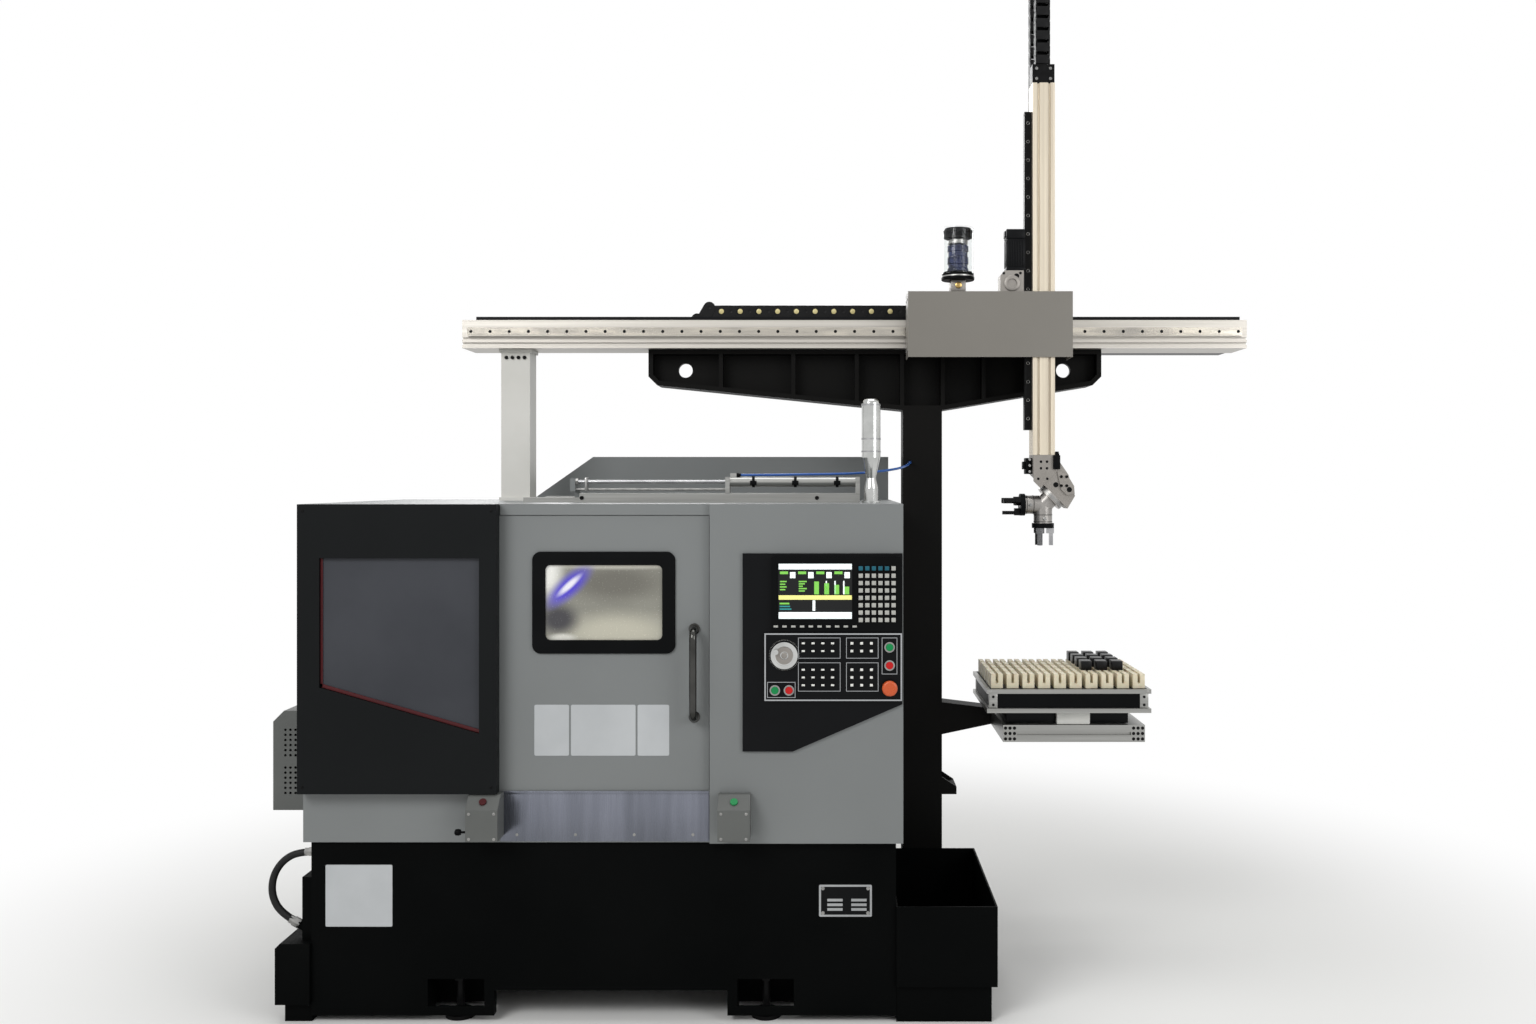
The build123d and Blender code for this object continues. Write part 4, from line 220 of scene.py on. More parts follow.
# Each patch mixes painted light or painted shade into the pane's colour
for colour, (across, up), (long, short), lean in PANE_LIGHT_AND_SHADE_PATCHES:
    apart = add(pane_tree, "ShaderNodeVectorMath", {0: pane_place, 1: spot(across, 0, up)},
                operation="SUBTRACT")
    leant = add(pane_tree, "ShaderNodeVectorRotate", {"Vector": apart, "Axis": (0, 1, 0),
                                                      "Angle": radians(lean)})
    sized = add(pane_tree, "ShaderNodeMapping", {"Vector": leant, "Scale": (1000 / long, 0, 1000 / short)})
    reach = add(pane_tree, "ShaderNodeVectorMath", {0: sized}, operation="LENGTH")
    painted_light_patch = add(pane_tree, "ShaderNodeMapRange", {"Value": reach, "From Min": 1.0,
                                                  "From Max": 0.25}, interpolation_type="SMOOTHSTEP")
    mixed = add(pane_tree, "ShaderNodeMix", {"Factor": painted_light_patch, "A": pane_tone,
                                             "B": linear(colour)}, data_type="RGBA")
    pane_tone = mixed.outputs["Result"]
pane_tree.links.new(pane_tone, pane_shader.inputs["Base Color"])
# Cup wall: clear cast acrylic
finish("clear_acrylic", "#f2f5f4", "#fbfcfc", (0.02, 0.04), grain_mm=4, relief_mm=0.001,
       extra={"Transmission Weight": 1.0, "IOR": 1.2})
finish("grease_blue", "#141a33", "#222c52", (0.25, 0.4), grain_mm=5, relief_mm=0.1, cloud_mm=20, specular=0.3)
# Screen glass: black, glossy when the picture behind it is dark
finish("screen_glass", "#050708", "#080b0c", (0.05, 0.1), grain_mm=8, relief_mm=0.001, specular=0.3)
for field, colour in (("white", "#dfe8e8"), ("green", "#6cb044"), ("yellow", "#d6d27c"), ("teal", "#1d7a7a")):
    finish(f"screen_lit_{field}", colour, colour, (0.2, 0.24), grain_mm=1, relief_mm=0.001,
           extra={"Emission Color": linear(colour), "Emission Strength": 0.6})


# The bench: forms are added here in millimetres, until settle or shape_of takes them off as one piece
BENCH = bmesh.new()
SHARP = radians(35)


def slab(x, y, z, edge=0.0):
    """A block between layout spans, with its edges rounded off by edge."""
    size = [b - a for a, b in (x, y, z)]
    middle = [(a + b) / 2 for a, b in (x, y, z)]
    made = bmesh.ops.create_cube(BENCH, size=1, matrix=Matrix.Translation(middle) @ Matrix.Diagonal(size + [1]))
    if edge:
        edges = dict.fromkeys(e for v in made["verts"] for e in v.link_edges)
        bmesh.ops.bevel(BENCH, geom=list(edges), offset=edge, segments=2, profile=0.5, affect="EDGES")


def rings(origin, axis, profile, steps):
    """Rings of points about an axis: profile gives the distance along it and the radius of each."""
    way = Vector(axis).normalized()
    across = way.orthogonal().normalized()
    other = way.cross(across)
    turns = [2 * pi * i / steps for i in range(steps)]
    return [[BENCH.verts.new(Vector(origin) + way * along + (across * cos(t) + other * sin(t)) * radius)
             for t in turns] for along, radius in profile]


def skin(loops):
    """Faces from each ring to the next."""
    for low, high in zip(loops, loops[1:]):
        for i in range(len(low)):
            j = (i + 1) % len(low)
            BENCH.faces.new((low[i], low[j], high[j], high[i]))


def turned(origin, axis, profile, steps=32):
    """A turned form with closed ends: profile gives the distance along the axis and the radius there."""
    loops = rings(origin, axis, profile, steps)
    skin(loops)
    BENCH.faces.new(list(reversed(loops[0])))
    BENCH.faces.new(loops[-1])


def tube(origin, axis, inner, outer, length, steps=40):
    """A plain ring about an axis, from the origin along it."""
    section = ((0, inner), (0, outer), (length, outer), (length, inner))
    loops = rings(origin, axis, section, steps)
    skin(loops + loops[:1])


def plate(outline, front, depth):
    """A plate with an outline of X and Z, from its front plane back along Y."""
    near = [BENCH.verts.new((x, front, z)) for x, z in outline]
    far = [BENCH.verts.new((x, front + depth, z)) for x, z in outline]
    BENCH.faces.new(near)
    BENCH.faces.new(list(reversed(far)))
    for i in range(len(outline)):
        j = (i + 1) % len(outline)
        BENCH.faces.new((near[j], near[i], far[i], far[j]))


def rounded(x, z, radius, steps=6):
    """The outline of a rectangle between spans x and z with rounded corners."""
    corners = ((x[1], z[1], 0), (x[0], z[1], 90), (x[0], z[0], 180), (x[1], z[0], 270))
    outline = []
    for corner_x, corner_z, start in corners:
        middle_x = corner_x - radius if corner_x == x[1] else corner_x + radius
        middle_z = corner_z - radius if corner_z == z[1] else corner_z + radius
        for i in range(steps + 1):
            turn = radians(start + 90 * i / steps)
            outline.append((middle_x + radius * cos(turn), middle_z + radius * sin(turn)))
    return outline


def take(name, placing):
    """Takes the work off the bench as a smooth mesh whose edges over the SHARP angle stay sharp. Its points
    and faces are sorted by place, so that each run gives them in the same order."""
    bmesh.ops.recalc_face_normals(BENCH, faces=BENCH.faces)
    for parts, place in ((BENCH.verts, lambda vert: tuple(vert.co)),
                         (BENCH.faces, lambda face: tuple(face.calc_center_median()))):
        rank = {part: i for i, part in enumerate(sorted(parts, key=place))}
        parts.sort(key=rank.get)
    BENCH.transform(placing)
    mesh = bpy.data.meshes.new(name)
    BENCH.to_mesh(mesh)
    BENCH.clear()
    mesh.polygons.foreach_set("use_smooth", [True] * len(mesh.polygons))
    mesh.set_sharp_from_angle(angle=SHARP)
    return mesh


def settle(name, look, body="machine", replaced=()):
    """Makes the work, in layout millimetres, a piece that rides on the body. A look is a finish and a slot."""
    material, slot = look
    mesh = take(name, TO_ROW)
    mesh.materials.append(MATERIALS[material])
    piece = put(name, mesh)
    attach(piece, body)
    for node in replaced:
        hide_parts(node)


def open_tree(name, sockets):
    """A Geometry Nodes tree with its named inputs."""
    tree = bpy.data.node_groups.new(name, "GeometryNodeTree")
    tree.interface.new_socket("Geometry", in_out="OUTPUT", socket_type="NodeSocketGeometry")
    for label, kind in sockets:
        tree.interface.new_socket(label, in_out="INPUT", socket_type="NodeSocket" + kind)
    return tree, add(tree, "NodeGroupInput").outputs


def close_tree(tree, geometry, material):
    """Paints what the tree has made and hands it out."""
    painted = add(tree, "GeometryNodeSetMaterial", {"Geometry": geometry, "Material": material})
    add(tree, "NodeGroupOutput", {"Geometry": painted})
    return tree


def repeat_tree(name, ring):
    """A tree that repeats a shape on a grid or on a ring, then turns and places it."""
    tree, given = open_tree(name, (("Shape", "Object"), ("Columns", "Int"), ("Rows", "Int"),
                                   ("Across", "Float"), ("Up", "Float"), ("Middle", "Vector"),
                                   ("Turn", "Vector"), ("Finish", "Material")))
    shape = add(tree, "GeometryNodeObjectInfo", {"Object": given["Shape"], "As Instance": True})
    if ring:
        index = add(tree, "GeometryNodeInputIndex").outputs["Index"]
        step = add(tree, "ShaderNodeMath", {0: 2 * pi, 1: given["Columns"]}, operation="DIVIDE")
        angle = add(tree, "ShaderNodeMath", {0: index, 1: step}, operation="MULTIPLY")
        facing = add(tree, "ShaderNodeCombineXYZ", {"Z": angle})
        points = add(tree, "GeometryNodeMeshCircle", {"Vertices": given["Columns"], "Radius": given["Across"]})
        facing = add(tree, "FunctionNodeEulerToRotation", {"Euler": facing})
        rotation = facing.outputs["Rotation"]
    else:
        sizes = []
        for count, pitch in (("Columns", "Across"), ("Rows", "Up")):
            gaps = add(tree, "ShaderNodeMath", {0: given[count], 1: 1.0}, operation="SUBTRACT")
            size = add(tree, "ShaderNodeMath", {0: gaps, 1: given[pitch]}, operation="MULTIPLY")
            sizes.append(size.outputs["Value"])
        points = add(tree, "GeometryNodeMeshGrid", {"Size X": sizes[0], "Size Y": sizes[1],
                                                    "Vertices X": given["Columns"],
                                                    "Vertices Y": given["Rows"]})
        rotation = (0.0, 0.0, 0.0)
    copies = add(tree, "GeometryNodeInstanceOnPoints", {"Points": points, "Instance": shape.outputs["Geometry"],
                                                        "Rotation": rotation})
    whole = add(tree, "GeometryNodeRealizeInstances", {"Geometry": copies})
    placed = add(tree, "GeometryNodeTransform", {"Geometry": whole,
                                                 "Translation": given["Middle"], "Rotation": given["Turn"]})
    return close_tree(tree, placed, given["Finish"])


ON_GRID = repeat_tree("shape_on_grid", False)
ON_RING = repeat_tree("shape_on_ring", True)
# Turns that lay a shape, made with its face up, on a front, back, left or right face, or leave it up
FRONT = (pi / 2, 0, 0)
BACK = (pi / 2, 0, pi)
LEFT = (pi / 2, 0, -pi / 2)
RIGHT = (pi / 2, 0, pi / 2)
TOP = (0, 0, 0)
SHAPES = []


def shape_of(name):
    """Makes the work, about the origin, a shape for the repeat trees."""
    shape = put(name, take(name, TO_METRES))
    SHAPES.append(shape)
    return shape


def grow(tree, name, given):
    """Runs a tree once with its named inputs and keeps the result as a plain mesh at the origin."""
    holder = put(name + "_holder", bpy.data.meshes.new(name + "_holder"))
    modifier = holder.modifiers.new("repeat", "NODES")
    modifier.node_group = tree
    for item in tree.interface.items_tree:
        if item.in_out == "INPUT":
            modifier[item.identifier] = given[item.name]
    bpy.context.view_layer.update()
    evaluated = holder.evaluated_get(bpy.context.evaluated_depsgraph_get())
    mesh = bpy.data.meshes.new_from_object(evaluated)
    mesh.name = name
    bpy.data.objects.remove(holder)
    return put(name, mesh)


def spread(name, shape, look, middle, turn, columns, rows=1, across=0.0, up=0.0, body="machine", tree=ON_GRID):
    """Spreads a shape on a grid or a ring, at a layout point, as a piece that rides on the body."""
    material, slot = look
    piece = grow(tree, name, {"Shape": shape, "Columns": columns, "Rows": rows, "Across": across / 1000,
                              "Up": up / 1000, "Middle": spot(*middle), "Turn": turn,
                              "Finish": MATERIALS[material]})
    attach(piece, body)


# Stage: a pale floor and a soft studio
def light(name, place, aim, size, power):
    """A soft rectangular lamp aimed at a point."""
    lamp = bpy.data.lights.new(name, "AREA")
    lamp.shape = "RECTANGLE"
    lamp.size, lamp.size_y = size
    lamp.energy = power
    carrier = put(name, lamp)
    carrier.location = place
    carrier.rotation_euler = (Vector(aim) - Vector(place)).to_track_quat("-Z", "Y").to_euler()


light("key_lamp", (-3.2, -5.2, 4.6), (0.0, -0.3, 1.3), (3.0, 2.4), 195)
light("fill_lamp", (4.2, -4.2, 3.0), (0.2, -0.2, 1.2), (2.6, 2.6), 90)
light("top_lamp", (0.2, -0.4, 6.0), (0.2, 0.0, 0.0), (3.5, 2.5), 92)
light("back_lamp", (-1.5, 5.5, 4.2), (0.0, 0.3, 1.3), (3.0, 2.5), 105)

floor_paint = bpy.data.materials.new("studio_floor")
floor_paint.use_nodes = True
floor_tree = floor_paint.node_tree
floor_shader = floor_tree.nodes["Principled BSDF"]
floor_shader.inputs["Base Color"].default_value = linear("#e9e9e7")
floor_shader.inputs["Roughness"].default_value = 0.9
# The floor fades into the white of the studio a few metres away, where it holds no shadow of the machine
floor_place = add(floor_tree, "ShaderNodeTexCoord").outputs["Object"]
floor_reach = add(floor_tree, "ShaderNodeVectorMath", {0: floor_place}, operation="LENGTH")
floor_fade = add(floor_tree, "ShaderNodeMapRange", {"Value": floor_reach, "From Min": 1.6,
                                                    "From Max": 3.6}, interpolation_type="SMOOTHSTEP")
floor_path = add(floor_tree, "ShaderNodeLightPath").outputs
floor_seen = add(floor_tree, "ShaderNodeMath", {0: floor_path["Is Camera Ray"], 1: floor_path["Is Glossy Ray"]},
                 operation="MAXIMUM")
floor_white = add(floor_tree, "ShaderNodeMath", {0: floor_fade, 1: floor_seen}, operation="MULTIPLY")
floor_glow = add(floor_tree, "ShaderNodeEmission", {"Color": (1, 1, 1, 1), "Strength": 1.0})
floor_mix = add(floor_tree, "ShaderNodeMixShader", {0: floor_white, 1: floor_shader, 2: floor_glow})
floor_tree.links.new(floor_mix.outputs["Shader"], floor_tree.nodes["Material Output"].inputs["Surface"])
floor_mesh = bpy.data.meshes.new("studio_floor")
floor_mesh.from_pydata([(-40, -12, 0), (40, -12, 0), (40, 60, 0), (-40, 60, 0)], [], [(0, 1, 2, 3)])
floor_mesh.materials.append(floor_paint)
floor = put("studio_floor", floor_mesh)

world = bpy.data.worlds.new("studio_air")
bpy.context.scene.world = world
world.use_nodes = True
air = world.node_tree
path = add(air, "ShaderNodeLightPath").outputs
seen = add(air, "ShaderNodeMath", {0: path["Is Camera Ray"], 1: path["Is Transmission Ray"]},
           operation="MAXIMUM")
seen = add(air, "ShaderNodeMath", {0: seen, 1: path["Is Glossy Ray"]}, operation="MAXIMUM")
strength = add(air, "ShaderNodeMapRange", {"Value": seen, "To Min": 0.4, "To Max": 1.0})
air.links.new(strength.outputs["Result"], air.nodes["Background"].inputs["Strength"])
air.nodes["Background"].inputs["Color"].default_value = (1, 1, 1, 1)
bpy.context.scene.view_settings.view_transform = "Standard"

# Camera: level, with its focal length and its axis in pixels of the picture
PICTURE = (1536, 1024)
FOCAL = 1333
AXIS = (827, 480)
SENSOR = 36
camera_data = bpy.data.cameras.new("photo_camera")
camera_data.sensor_width = SENSOR
camera_data.lens = SENSOR * FOCAL / PICTURE[0]
camera_data.shift_x = (PICTURE[0] / 2 - AXIS[0]) / PICTURE[0]
camera_data.shift_y = (AXIS[1] - PICTURE[1] / 2) / PICTURE[0]
camera_data.clip_end = 200
camera = put("photo_camera", camera_data)
camera.location = spot(672, -4000, 1632)
camera.rotation_euler = (pi / 2, 0, 0)
bpy.context.scene.camera = camera

# Looks: a finish and the slot that names it
BLACK_STEEL = ("black_oxide_steel", "black_steel")
ZINC = ("zinc_plated_steel", "brushed_steel")
BLACK_ABS = ("black_abs", "black_plastic")
GREY_ABS = ("grey_key_abs", "black_plastic")
CAST = ("cast_aluminium", "aluminium")
GREY_COAT = ("grey_powder_coat", "painted_grey")
SILVER_FOIL = ("silver_foil_plate", "aluminium")
SATIN_BLACK = ("black_satin_enamel", "painted_black")
MOTOR_BLACK = ("black_satin_enamel", "black_steel")
LABEL_FILM = ("white_label_film", "painted_white")
CHAIN = ("chain_nylon", "black_plastic")

# Free lines: the pump's pressure hose at the left end and the blue air line of the hatch cylinder
HOSE_ROUTE = [(-880, 80, 495), (-944, 80, 495), (-995, 80, 467), (-1025, 80, 417), (-1027, 80, 357),
              (-996, 80, 304), (-944, 80, 275)]
AIR_LINE_ROUTE = [(382, 277, 1648), (478, 277, 1648), (585, 275, 1650), (690, 279, 1651), (782, 292, 1654),
                  (862, 330, 1662), (918, 404, 1672), (945, 492, 1683), (960, 577, 1694), (960, 650, 1694)]


def line_of(name, kind, route):
    """A curve of one spline through layout points."""
    curve = bpy.data.curves.new(name, "CURVE")
    curve.dimensions = "3D"
    spline = curve.splines.new(kind)
    spline.points.add(len(route) - 1)
    for point, place in zip(spline.points, route):
        point.co = (*spot(*place), 1)
    return put(name, curve)


def line_piece(name, route, diameter, look, node):
    """A free line on one smooth spline through its route, which stands for its CAD node."""
    material, slot = look
    piece = line_of(name, "NURBS", route)
    spline = piece.data.splines[0]
    spline.order_u = 3
    spline.use_endpoint_u = True
    spline.resolution_u = 12
    piece.data.bevel_depth = diameter / 2000
    piece.data.bevel_resolution = 6
    piece.data.use_fill_caps = True
    piece.data.materials.append(MATERIALS[material])
    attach(piece, "machine")
    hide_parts(node)


line_piece("pressure_hose", HOSE_ROUTE, 22, ("hose_rubber", "hose_rubber"), "hydraulic_hose")
line_piece("blue_air_line", AIR_LINE_ROUTE, 8, ("blue_air_line", "blue_hose"), "air_hose")

# Finishes of the nodes that keep their CAD shape
NODE_FINISHES = {
    "black_machine_enamel": "base_frame coolant_tank chip_bin coolant_pump",
    "black_gantry_enamel": "gantry_column gantry_arm",
    "grey_powder_coat": "enclosure_shell right_front_panel door roof_hatch",
    # The side vent cover and the button boxes take the darker grey copy, with painted shade
    "grey_enamel_painted_shade": "side_vent_cover button_boxes",
    "charcoal_powder_coat": "left_front_cover",
    "black_satin_enamel": "control_fascia operator_panel chain_trough",
    "white_enamel": "support_post",
    "beam_anodised_aluminium": "beam",
    "upright_anodised_aluminium": "z_beam",
    "tray_anodised_aluminium": "tray tray_base_frame roof_slide",
    "cover_satin_sheet": "carriage_cover",
    "cast_aluminium": "wrist_bracket x_carriage",
    "turned_aluminium": "swivel_head",
    "machined_cast_iron": "headstock saddle cross_slide",
    "ground_steel": "chuck cylinder_rod",
    "polished_chrome": "signal_lamp handwheel",
    # The door handle's chrome carries a painted dark reflection
    "chrome_painted_dark_reflection": "door_handle",
    "black_oxide_steel": "z_rail z_motor levelling_feet",
    "black_abs": "door_window_frame cnc_unit",
    "chain_nylon": "x_cable_chain z_cable_chain",
    "misted_polycarbonate": "door_window",
    "clear_acrylic": "grease_cup",
    "screen_glass": "display_screen",
    "green_button_abs": "cycle_start_button power_on_button right_box_button",
    "red_button_abs": "feed_hold_button power_off_button",
    "dark_red_button_abs": "left_box_button",
    "stop_orange_abs": "emergency_stop",
    "cream_nylon": "tray_nests",
}
for material_name, node_names in NODE_FINISHES.items():
    for node_name in node_names.split():
        for material_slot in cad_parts[node_name].material_slots:
            material_slot.material = MATERIALS[material_name]
for gripper, jaw_finish in (("left", "black_oxide_steel"), ("down", "ground_steel")):
    for jaw in (1, 2, 3):
        for material_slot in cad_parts[f"{gripper}_gripper_jaw_{jaw}"].material_slots:
            material_slot.material = MATERIALS[jaw_finish]


def border(x, z, width, front, depth):
    """Four strips laid round a rectangle on a front face."""
    slab(x, (front, front + depth), (z[1] - width, z[1]))
    slab(x, (front, front + depth), (z[0], z[0] + width))
    slab((x[0], x[0] + width), (front, front + depth), (z[0] + width, z[1] - width))
    slab((x[1] - width, x[1]), (front, front + depth), (z[0] + width, z[1] - width))


# Small shapes that the repeat trees spread
def key_cap(name, width, height, lift, edge):
    """A moulded key top, face up."""
    slab((-width / 2, width / 2), (-height / 2, height / 2), (0, lift), edge)
    return shape_of(name)


def screw_head(name, radius, lift):
    """A socket head with a sunk drive, face up."""
    turned((0, 0, 0), UP, [(0, radius), (lift * 0.8, radius), (lift, radius * 0.86),
                                        (lift, radius * 0.5), (lift * 0.35, radius * 0.45)], 12)
    return shape_of(name)


def dimple(name, radius, lift):
    """A dark sunk hole with a fine rim, face up."""
    turned((0, 0, 0), UP, [(0, radius), (lift, radius * 0.94), (lift * 0.2, radius * 0.8)], 14)
    return shape_of(name)


GREY_KEY = key_cap("unit_key", 12.6, 12.6, 1.4, 0.6)
SOFT_KEY = key_cap("soft_key", 13, 6, 1.0, 0.4)
DESK_KEY = key_cap("desk_key", 8.5, 7.5, 0.7, 0.3)
DESK_KEY_WIDE = key_cap("desk_key_wide", 9.5, 5.4, 0.7, 0.3)
DIAL_TICK = key_cap("dial_tick", 3.2, 0.7, 0.3, 0.0)
M6_HEAD = screw_head("m6_socket_head", 5, 4)
M8_HEAD = screw_head("m8_socket_head", 6.5, 6)
PANEL_SCREW = screw_head("panel_screw", 4.5, 1.6)
RAIL_HOLE = dimple("rail_hole", 5.5, 0.3)
PLATE_HOLE = dimple("plate_hole", 4.5, 0.4)
PROFILE_HOLE = dimple("profile_hole", 5.5, 0.4)

# Left cover: the slate pane in its sunk field, with red trim down the left and along the slanted foot
plate([(-833, 1017), (-361, 880), (-361, 1399), (-833, 1399)], -34.7, 0.7)
settle("cover_pane", ("slate_powder_coat", "painted_charcoal"))
plate([(-833.5, 1017), (-827, 1017), (-827, 1399), (-833.5, 1399)], -38.5, 4)
plate([(-833.5, 1017), (-360.5, 880), (-360.5, 890), (-833.5, 1027)], -38.5, 4)
settle("cover_pane_trim", ("trim_red_enamel", "red_plastic"))
spread("cover_screws", PANEL_SCREW, BLACK_STEEL, (-604.5, -48, 1130), FRONT, 2, 2, 560, 820)

# Skirt sill, the plain films on the door, and the plain plates on the base
slab((-308, 320), (-1.6, 0), (548, 699), 0.6)
slab((-308, 320), (-3.2, -1.6), (690, 699), 0.5)
settle("door_sill", ("stainless_sill", "brushed_steel"))
spread("sill_screws", PANEL_SCREW, ZINC, (6, -1.6, 568), FRONT, 4, 1, 176, 0)
for label, x in (("left", (-207, -103)), ("middle", (-97, 97)), ("right", (103, 198))):
    plate(rounded(x, (804, 957), 5), 3.6, 0.4)
    settle(f"door_label_{label}", LABEL_FILM, "door")
plate(rounded((-837, -636), (288, 474), 4), 11.2, 0.8)
settle("base_placard", LABEL_FILM)
plate(rounded((648, 807), (318, 414), 4), 11, 1)
settle("base_plate", SILVER_FOIL)
plate(rounded((654, 801), (324, 408), 2), 10.8, 0.2)
settle("base_plate_field", SATIN_BLACK)
PLATE_BAR = key_cap("plate_bar", 46, 8, 0.2, 0.0)
spread("base_plate_bars", PLATE_BAR, SILVER_FOIL, (732, 10.8, 354), FRONT, 2, 3, 72, 14)
spread("base_plate_rivets", RAIL_HOLE, ZINC, (727.5, 10.8, 366), FRONT, 2, 2, 136, 74)

# Jack pockets: a sill across each mouth, and sheets that close its back and its two sides
for x in ((-530, -360), (402, 572)):
    for mouth, back in ((12, 122), (1142, 1032)):
        inward = 1 if back > mouth else -1
        slab(x, sorted((mouth, mouth + 8 * inward)), (20, 48))
        slab(x, sorted((back, back + 4 * inward)), (20, 130))
        for end in ((x[0] - 4, x[0]), (x[1], x[1] + 4)):
            slab(end, sorted((mouth + 30 * inward, back)), (20, 130))
settle("jack_pockets", ("black_machine_enamel", "painted_black"))

# Control unit: keys, soft keys, and a plain picture of coloured fields on the screen
UNIT_FACE = -41
spread("unit_keys", GREY_KEY, GREY_ABS, (821, UNIT_FACE, 1282.05), FRONT, 6, 7, 19.5, 21.9)
spread("unit_blue_keys", GREY_KEY, ("blue_key_abs", "black_plastic"), (811.25, UNIT_FACE, 1369.65), FRONT,
       5, 1, 19.5)
spread("unit_corner_key", GREY_KEY, GREY_ABS, (869.75, UNIT_FACE, 1369.65), FRONT, 1, 1)
spread("unit_soft_keys", SOFT_KEY, GREY_ABS, (637, UNIT_FACE, 1197), FRONT, 10, 1, 26, 0)
border((523, 751), (1214, 1388), 4, -39, 1)
settle("screen_bezel", BLACK_ABS)
FIELDS = {
    "white": [((528, 746), (1366, 1383)), ((528, 746), (1219, 1239)), ((629, 637), (1243, 1274))]
    + [((562 + 54 * i, 578 + 54 * i), (1340, 1358)) for i in range(4)]
    + [((668 + 26 * i, 672 + 26 * i), (1292, 1332)) for i in range(3)],
    "green": [((532 + 54 * i, 556 + 54 * i), (1352, 1360)) for i in range(4)]
    + [((532, 552 - 4 * (i % 2)), (1328 - 8 * i, 1332 - 8 * i)) for i in range(4)]
    + [((588, 612 - 6 * (i % 3)), (1328 - 7 * i, 1332 - 7 * i)) for i in range(5)]
    + [((634 + 30 * i, 648 + 30 * i), (1292, 1330 - 5 * i)) for i in range(4)]
    + [((531, 560), (1262, 1267))],
    "yellow": [((528, 746), (1276, 1289))],
    "teal": [((531, 562), (1254, 1258)), ((531, 566), (1246, 1250))],
}
for colour, spans in FIELDS.items():
    for x, z in spans:
        slab(x, (-35.4, -35), z)
    settle(f"screen_fields_{colour}", (f"screen_lit_{colour}", "display_glass"))

# Operator panel: silver border lines, plain key tops, button rings and the dial
border((486, 895), (975, 1176), 4, -36.5, 0.5)
for x, z in (((586, 712), (1101, 1163)), ((729, 825), (1101, 1163)), ((586, 712), (1003, 1089)),
             ((729, 825), (1003, 1089)), ((835, 881), (1054, 1163)), ((494, 578), (984, 1031))):
    border(x, z, 1.6, -34.4, 0.4)
settle("panel_border_lines", SILVER_FOIL)
for i, (columns, rows, x, z) in enumerate(((4, 2, 645, 1135), (3, 2, 775, 1135), (4, 3, 645, 1045),
                                           (3, 3, 775, 1045))):
    spread(f"panel_key_legends_{i + 1}", DESK_KEY if i % 2 else DESK_KEY_WIDE, ("white_nylon", "black_plastic"),
           (x, -37, z), FRONT, columns, rows, 29, 23)
for x, z in ((858, 1135), (858, 1081), (517, 1007), (559, 1007)):
    tube((x, -40, z), OUT, 11.4, 15.6, 1.2)
tube((858, -40, 1014), OUT, 8.6, 22, 0.2)
settle("button_rings", ("zinc_plated_steel", "chrome"))
DIAL_X, DIAL_Z = 545, 1111
spread("dial_ticks", DIAL_TICK, GREY_ABS, (DIAL_X, -34, DIAL_Z), FRONT, 60, 1, 44.5, tree=ON_RING)
tube((DIAL_X, -48.2, DIAL_Z), OUT, 12, 26, 0.8)
turned((DIAL_X, -45, DIAL_Z), OUT, [(0, 9), (5, 9), (6.5, 7)], 24)
settle("handwheel_plate", ("cast_aluminium", "chrome"), "handwheel")

# Gantry beam: counterbored rail screws and the core holes in its two ends
slab((-566, 2100), (584.8, 585), (2129, 2157))
settle("rail_face", ("rail_ground_steel", "brushed_steel"))
spread("rail_screw_holes", RAIL_HOLE, BLACK_STEEL, (767, 584.8, 2143), FRONT, 41, 1, 66, 0)
slab((-540, 2098), (606, 608), (2183, 2196))
slab((-540, 2098), (608, 640), (2183, 2185))
settle("beam_dust_lip", SATIN_BLACK)
spread("post_head_bolts", M8_HEAD, BLACK_STEEL, (-412, 640, 2058), FRONT, 4, 1, 21, 0)
for end, x, turn in (("left", -587, LEFT), ("right", 2121, RIGHT)):
    spread(f"beam_core_holes_{end}", PROFILE_HOLE, BLACK_STEEL, (x, 690, 2135.5), turn, 4, 2, 44, 46)
spread("column_anchor_bolts", M8_HEAD, ZINC, (1005, 840, 20), TOP, 2, 1, 150, 0)
for side_name, x, turn in (("left", 942, LEFT), ("right", 1491, RIGHT)):
    spread(f"cover_side_screws_{side_name}", PANEL_SCREW, ("zinc_plated_steel", "painted_grey"),
           (x, 500, 2151.5), turn, 2, 2, 70, 170, body="carriage")

# Grease cup: cast foot with a brass plug, black flange, clear wall, and the plunger on its blue grease
CUP = (1116, 525)
slab((1091, 1141), (500, 585), (2268.8, 2308.6), 3)
settle("grease_cup_foot", CAST, "carriage")
turned((CUP[0], 500.5, 2290), OUT, [(0, 12), (4, 12), (5, 10)], 6)
settle("grease_cup_plug", ("turned_brass", "brushed_steel"), "carriage")
turned((*CUP, 2308.6), UP, [(0, 54), (2, 56), (10, 56), (11, 54)], 48)
turned((*CUP, 2322.6), UP, [(0, 54), (8, 54), (10, 48), (14, 48)], 48)
turned((*CUP, 2448), UP, [(0, 40), (4, 48), (20, 48), (22, 50), (28, 50), (30, 46), (36, 44)], 48)
settle("grease_cup_caps", BLACK_ABS, "carriage")
tube((*CUP, 2318.6), UP, 40, 55.2, 4.5, 48)
turned((*CUP, 2428), UP, [(0, 30), (4, 34), (16, 34), (20, 30)], 40)
settle("grease_plunger", ZINC, "carriage")
tube((*CUP, 2332), UP, 51.5, 53.5, 154, 64)
settle("grease_cup_wall", ("clear_acrylic", "window_plastic"), "carriage", ("grease_cup",))
turned((*CUP, 2336), UP, [(0, 36), (12, 36), (14, 33), (26, 33), (28, 36), (50, 36), (52, 33), (68, 33),
                                  (70, 36), (88, 36), (92, 30)], 40)
settle("grease_fill", ("grease_blue", "black_plastic"), "carriage")

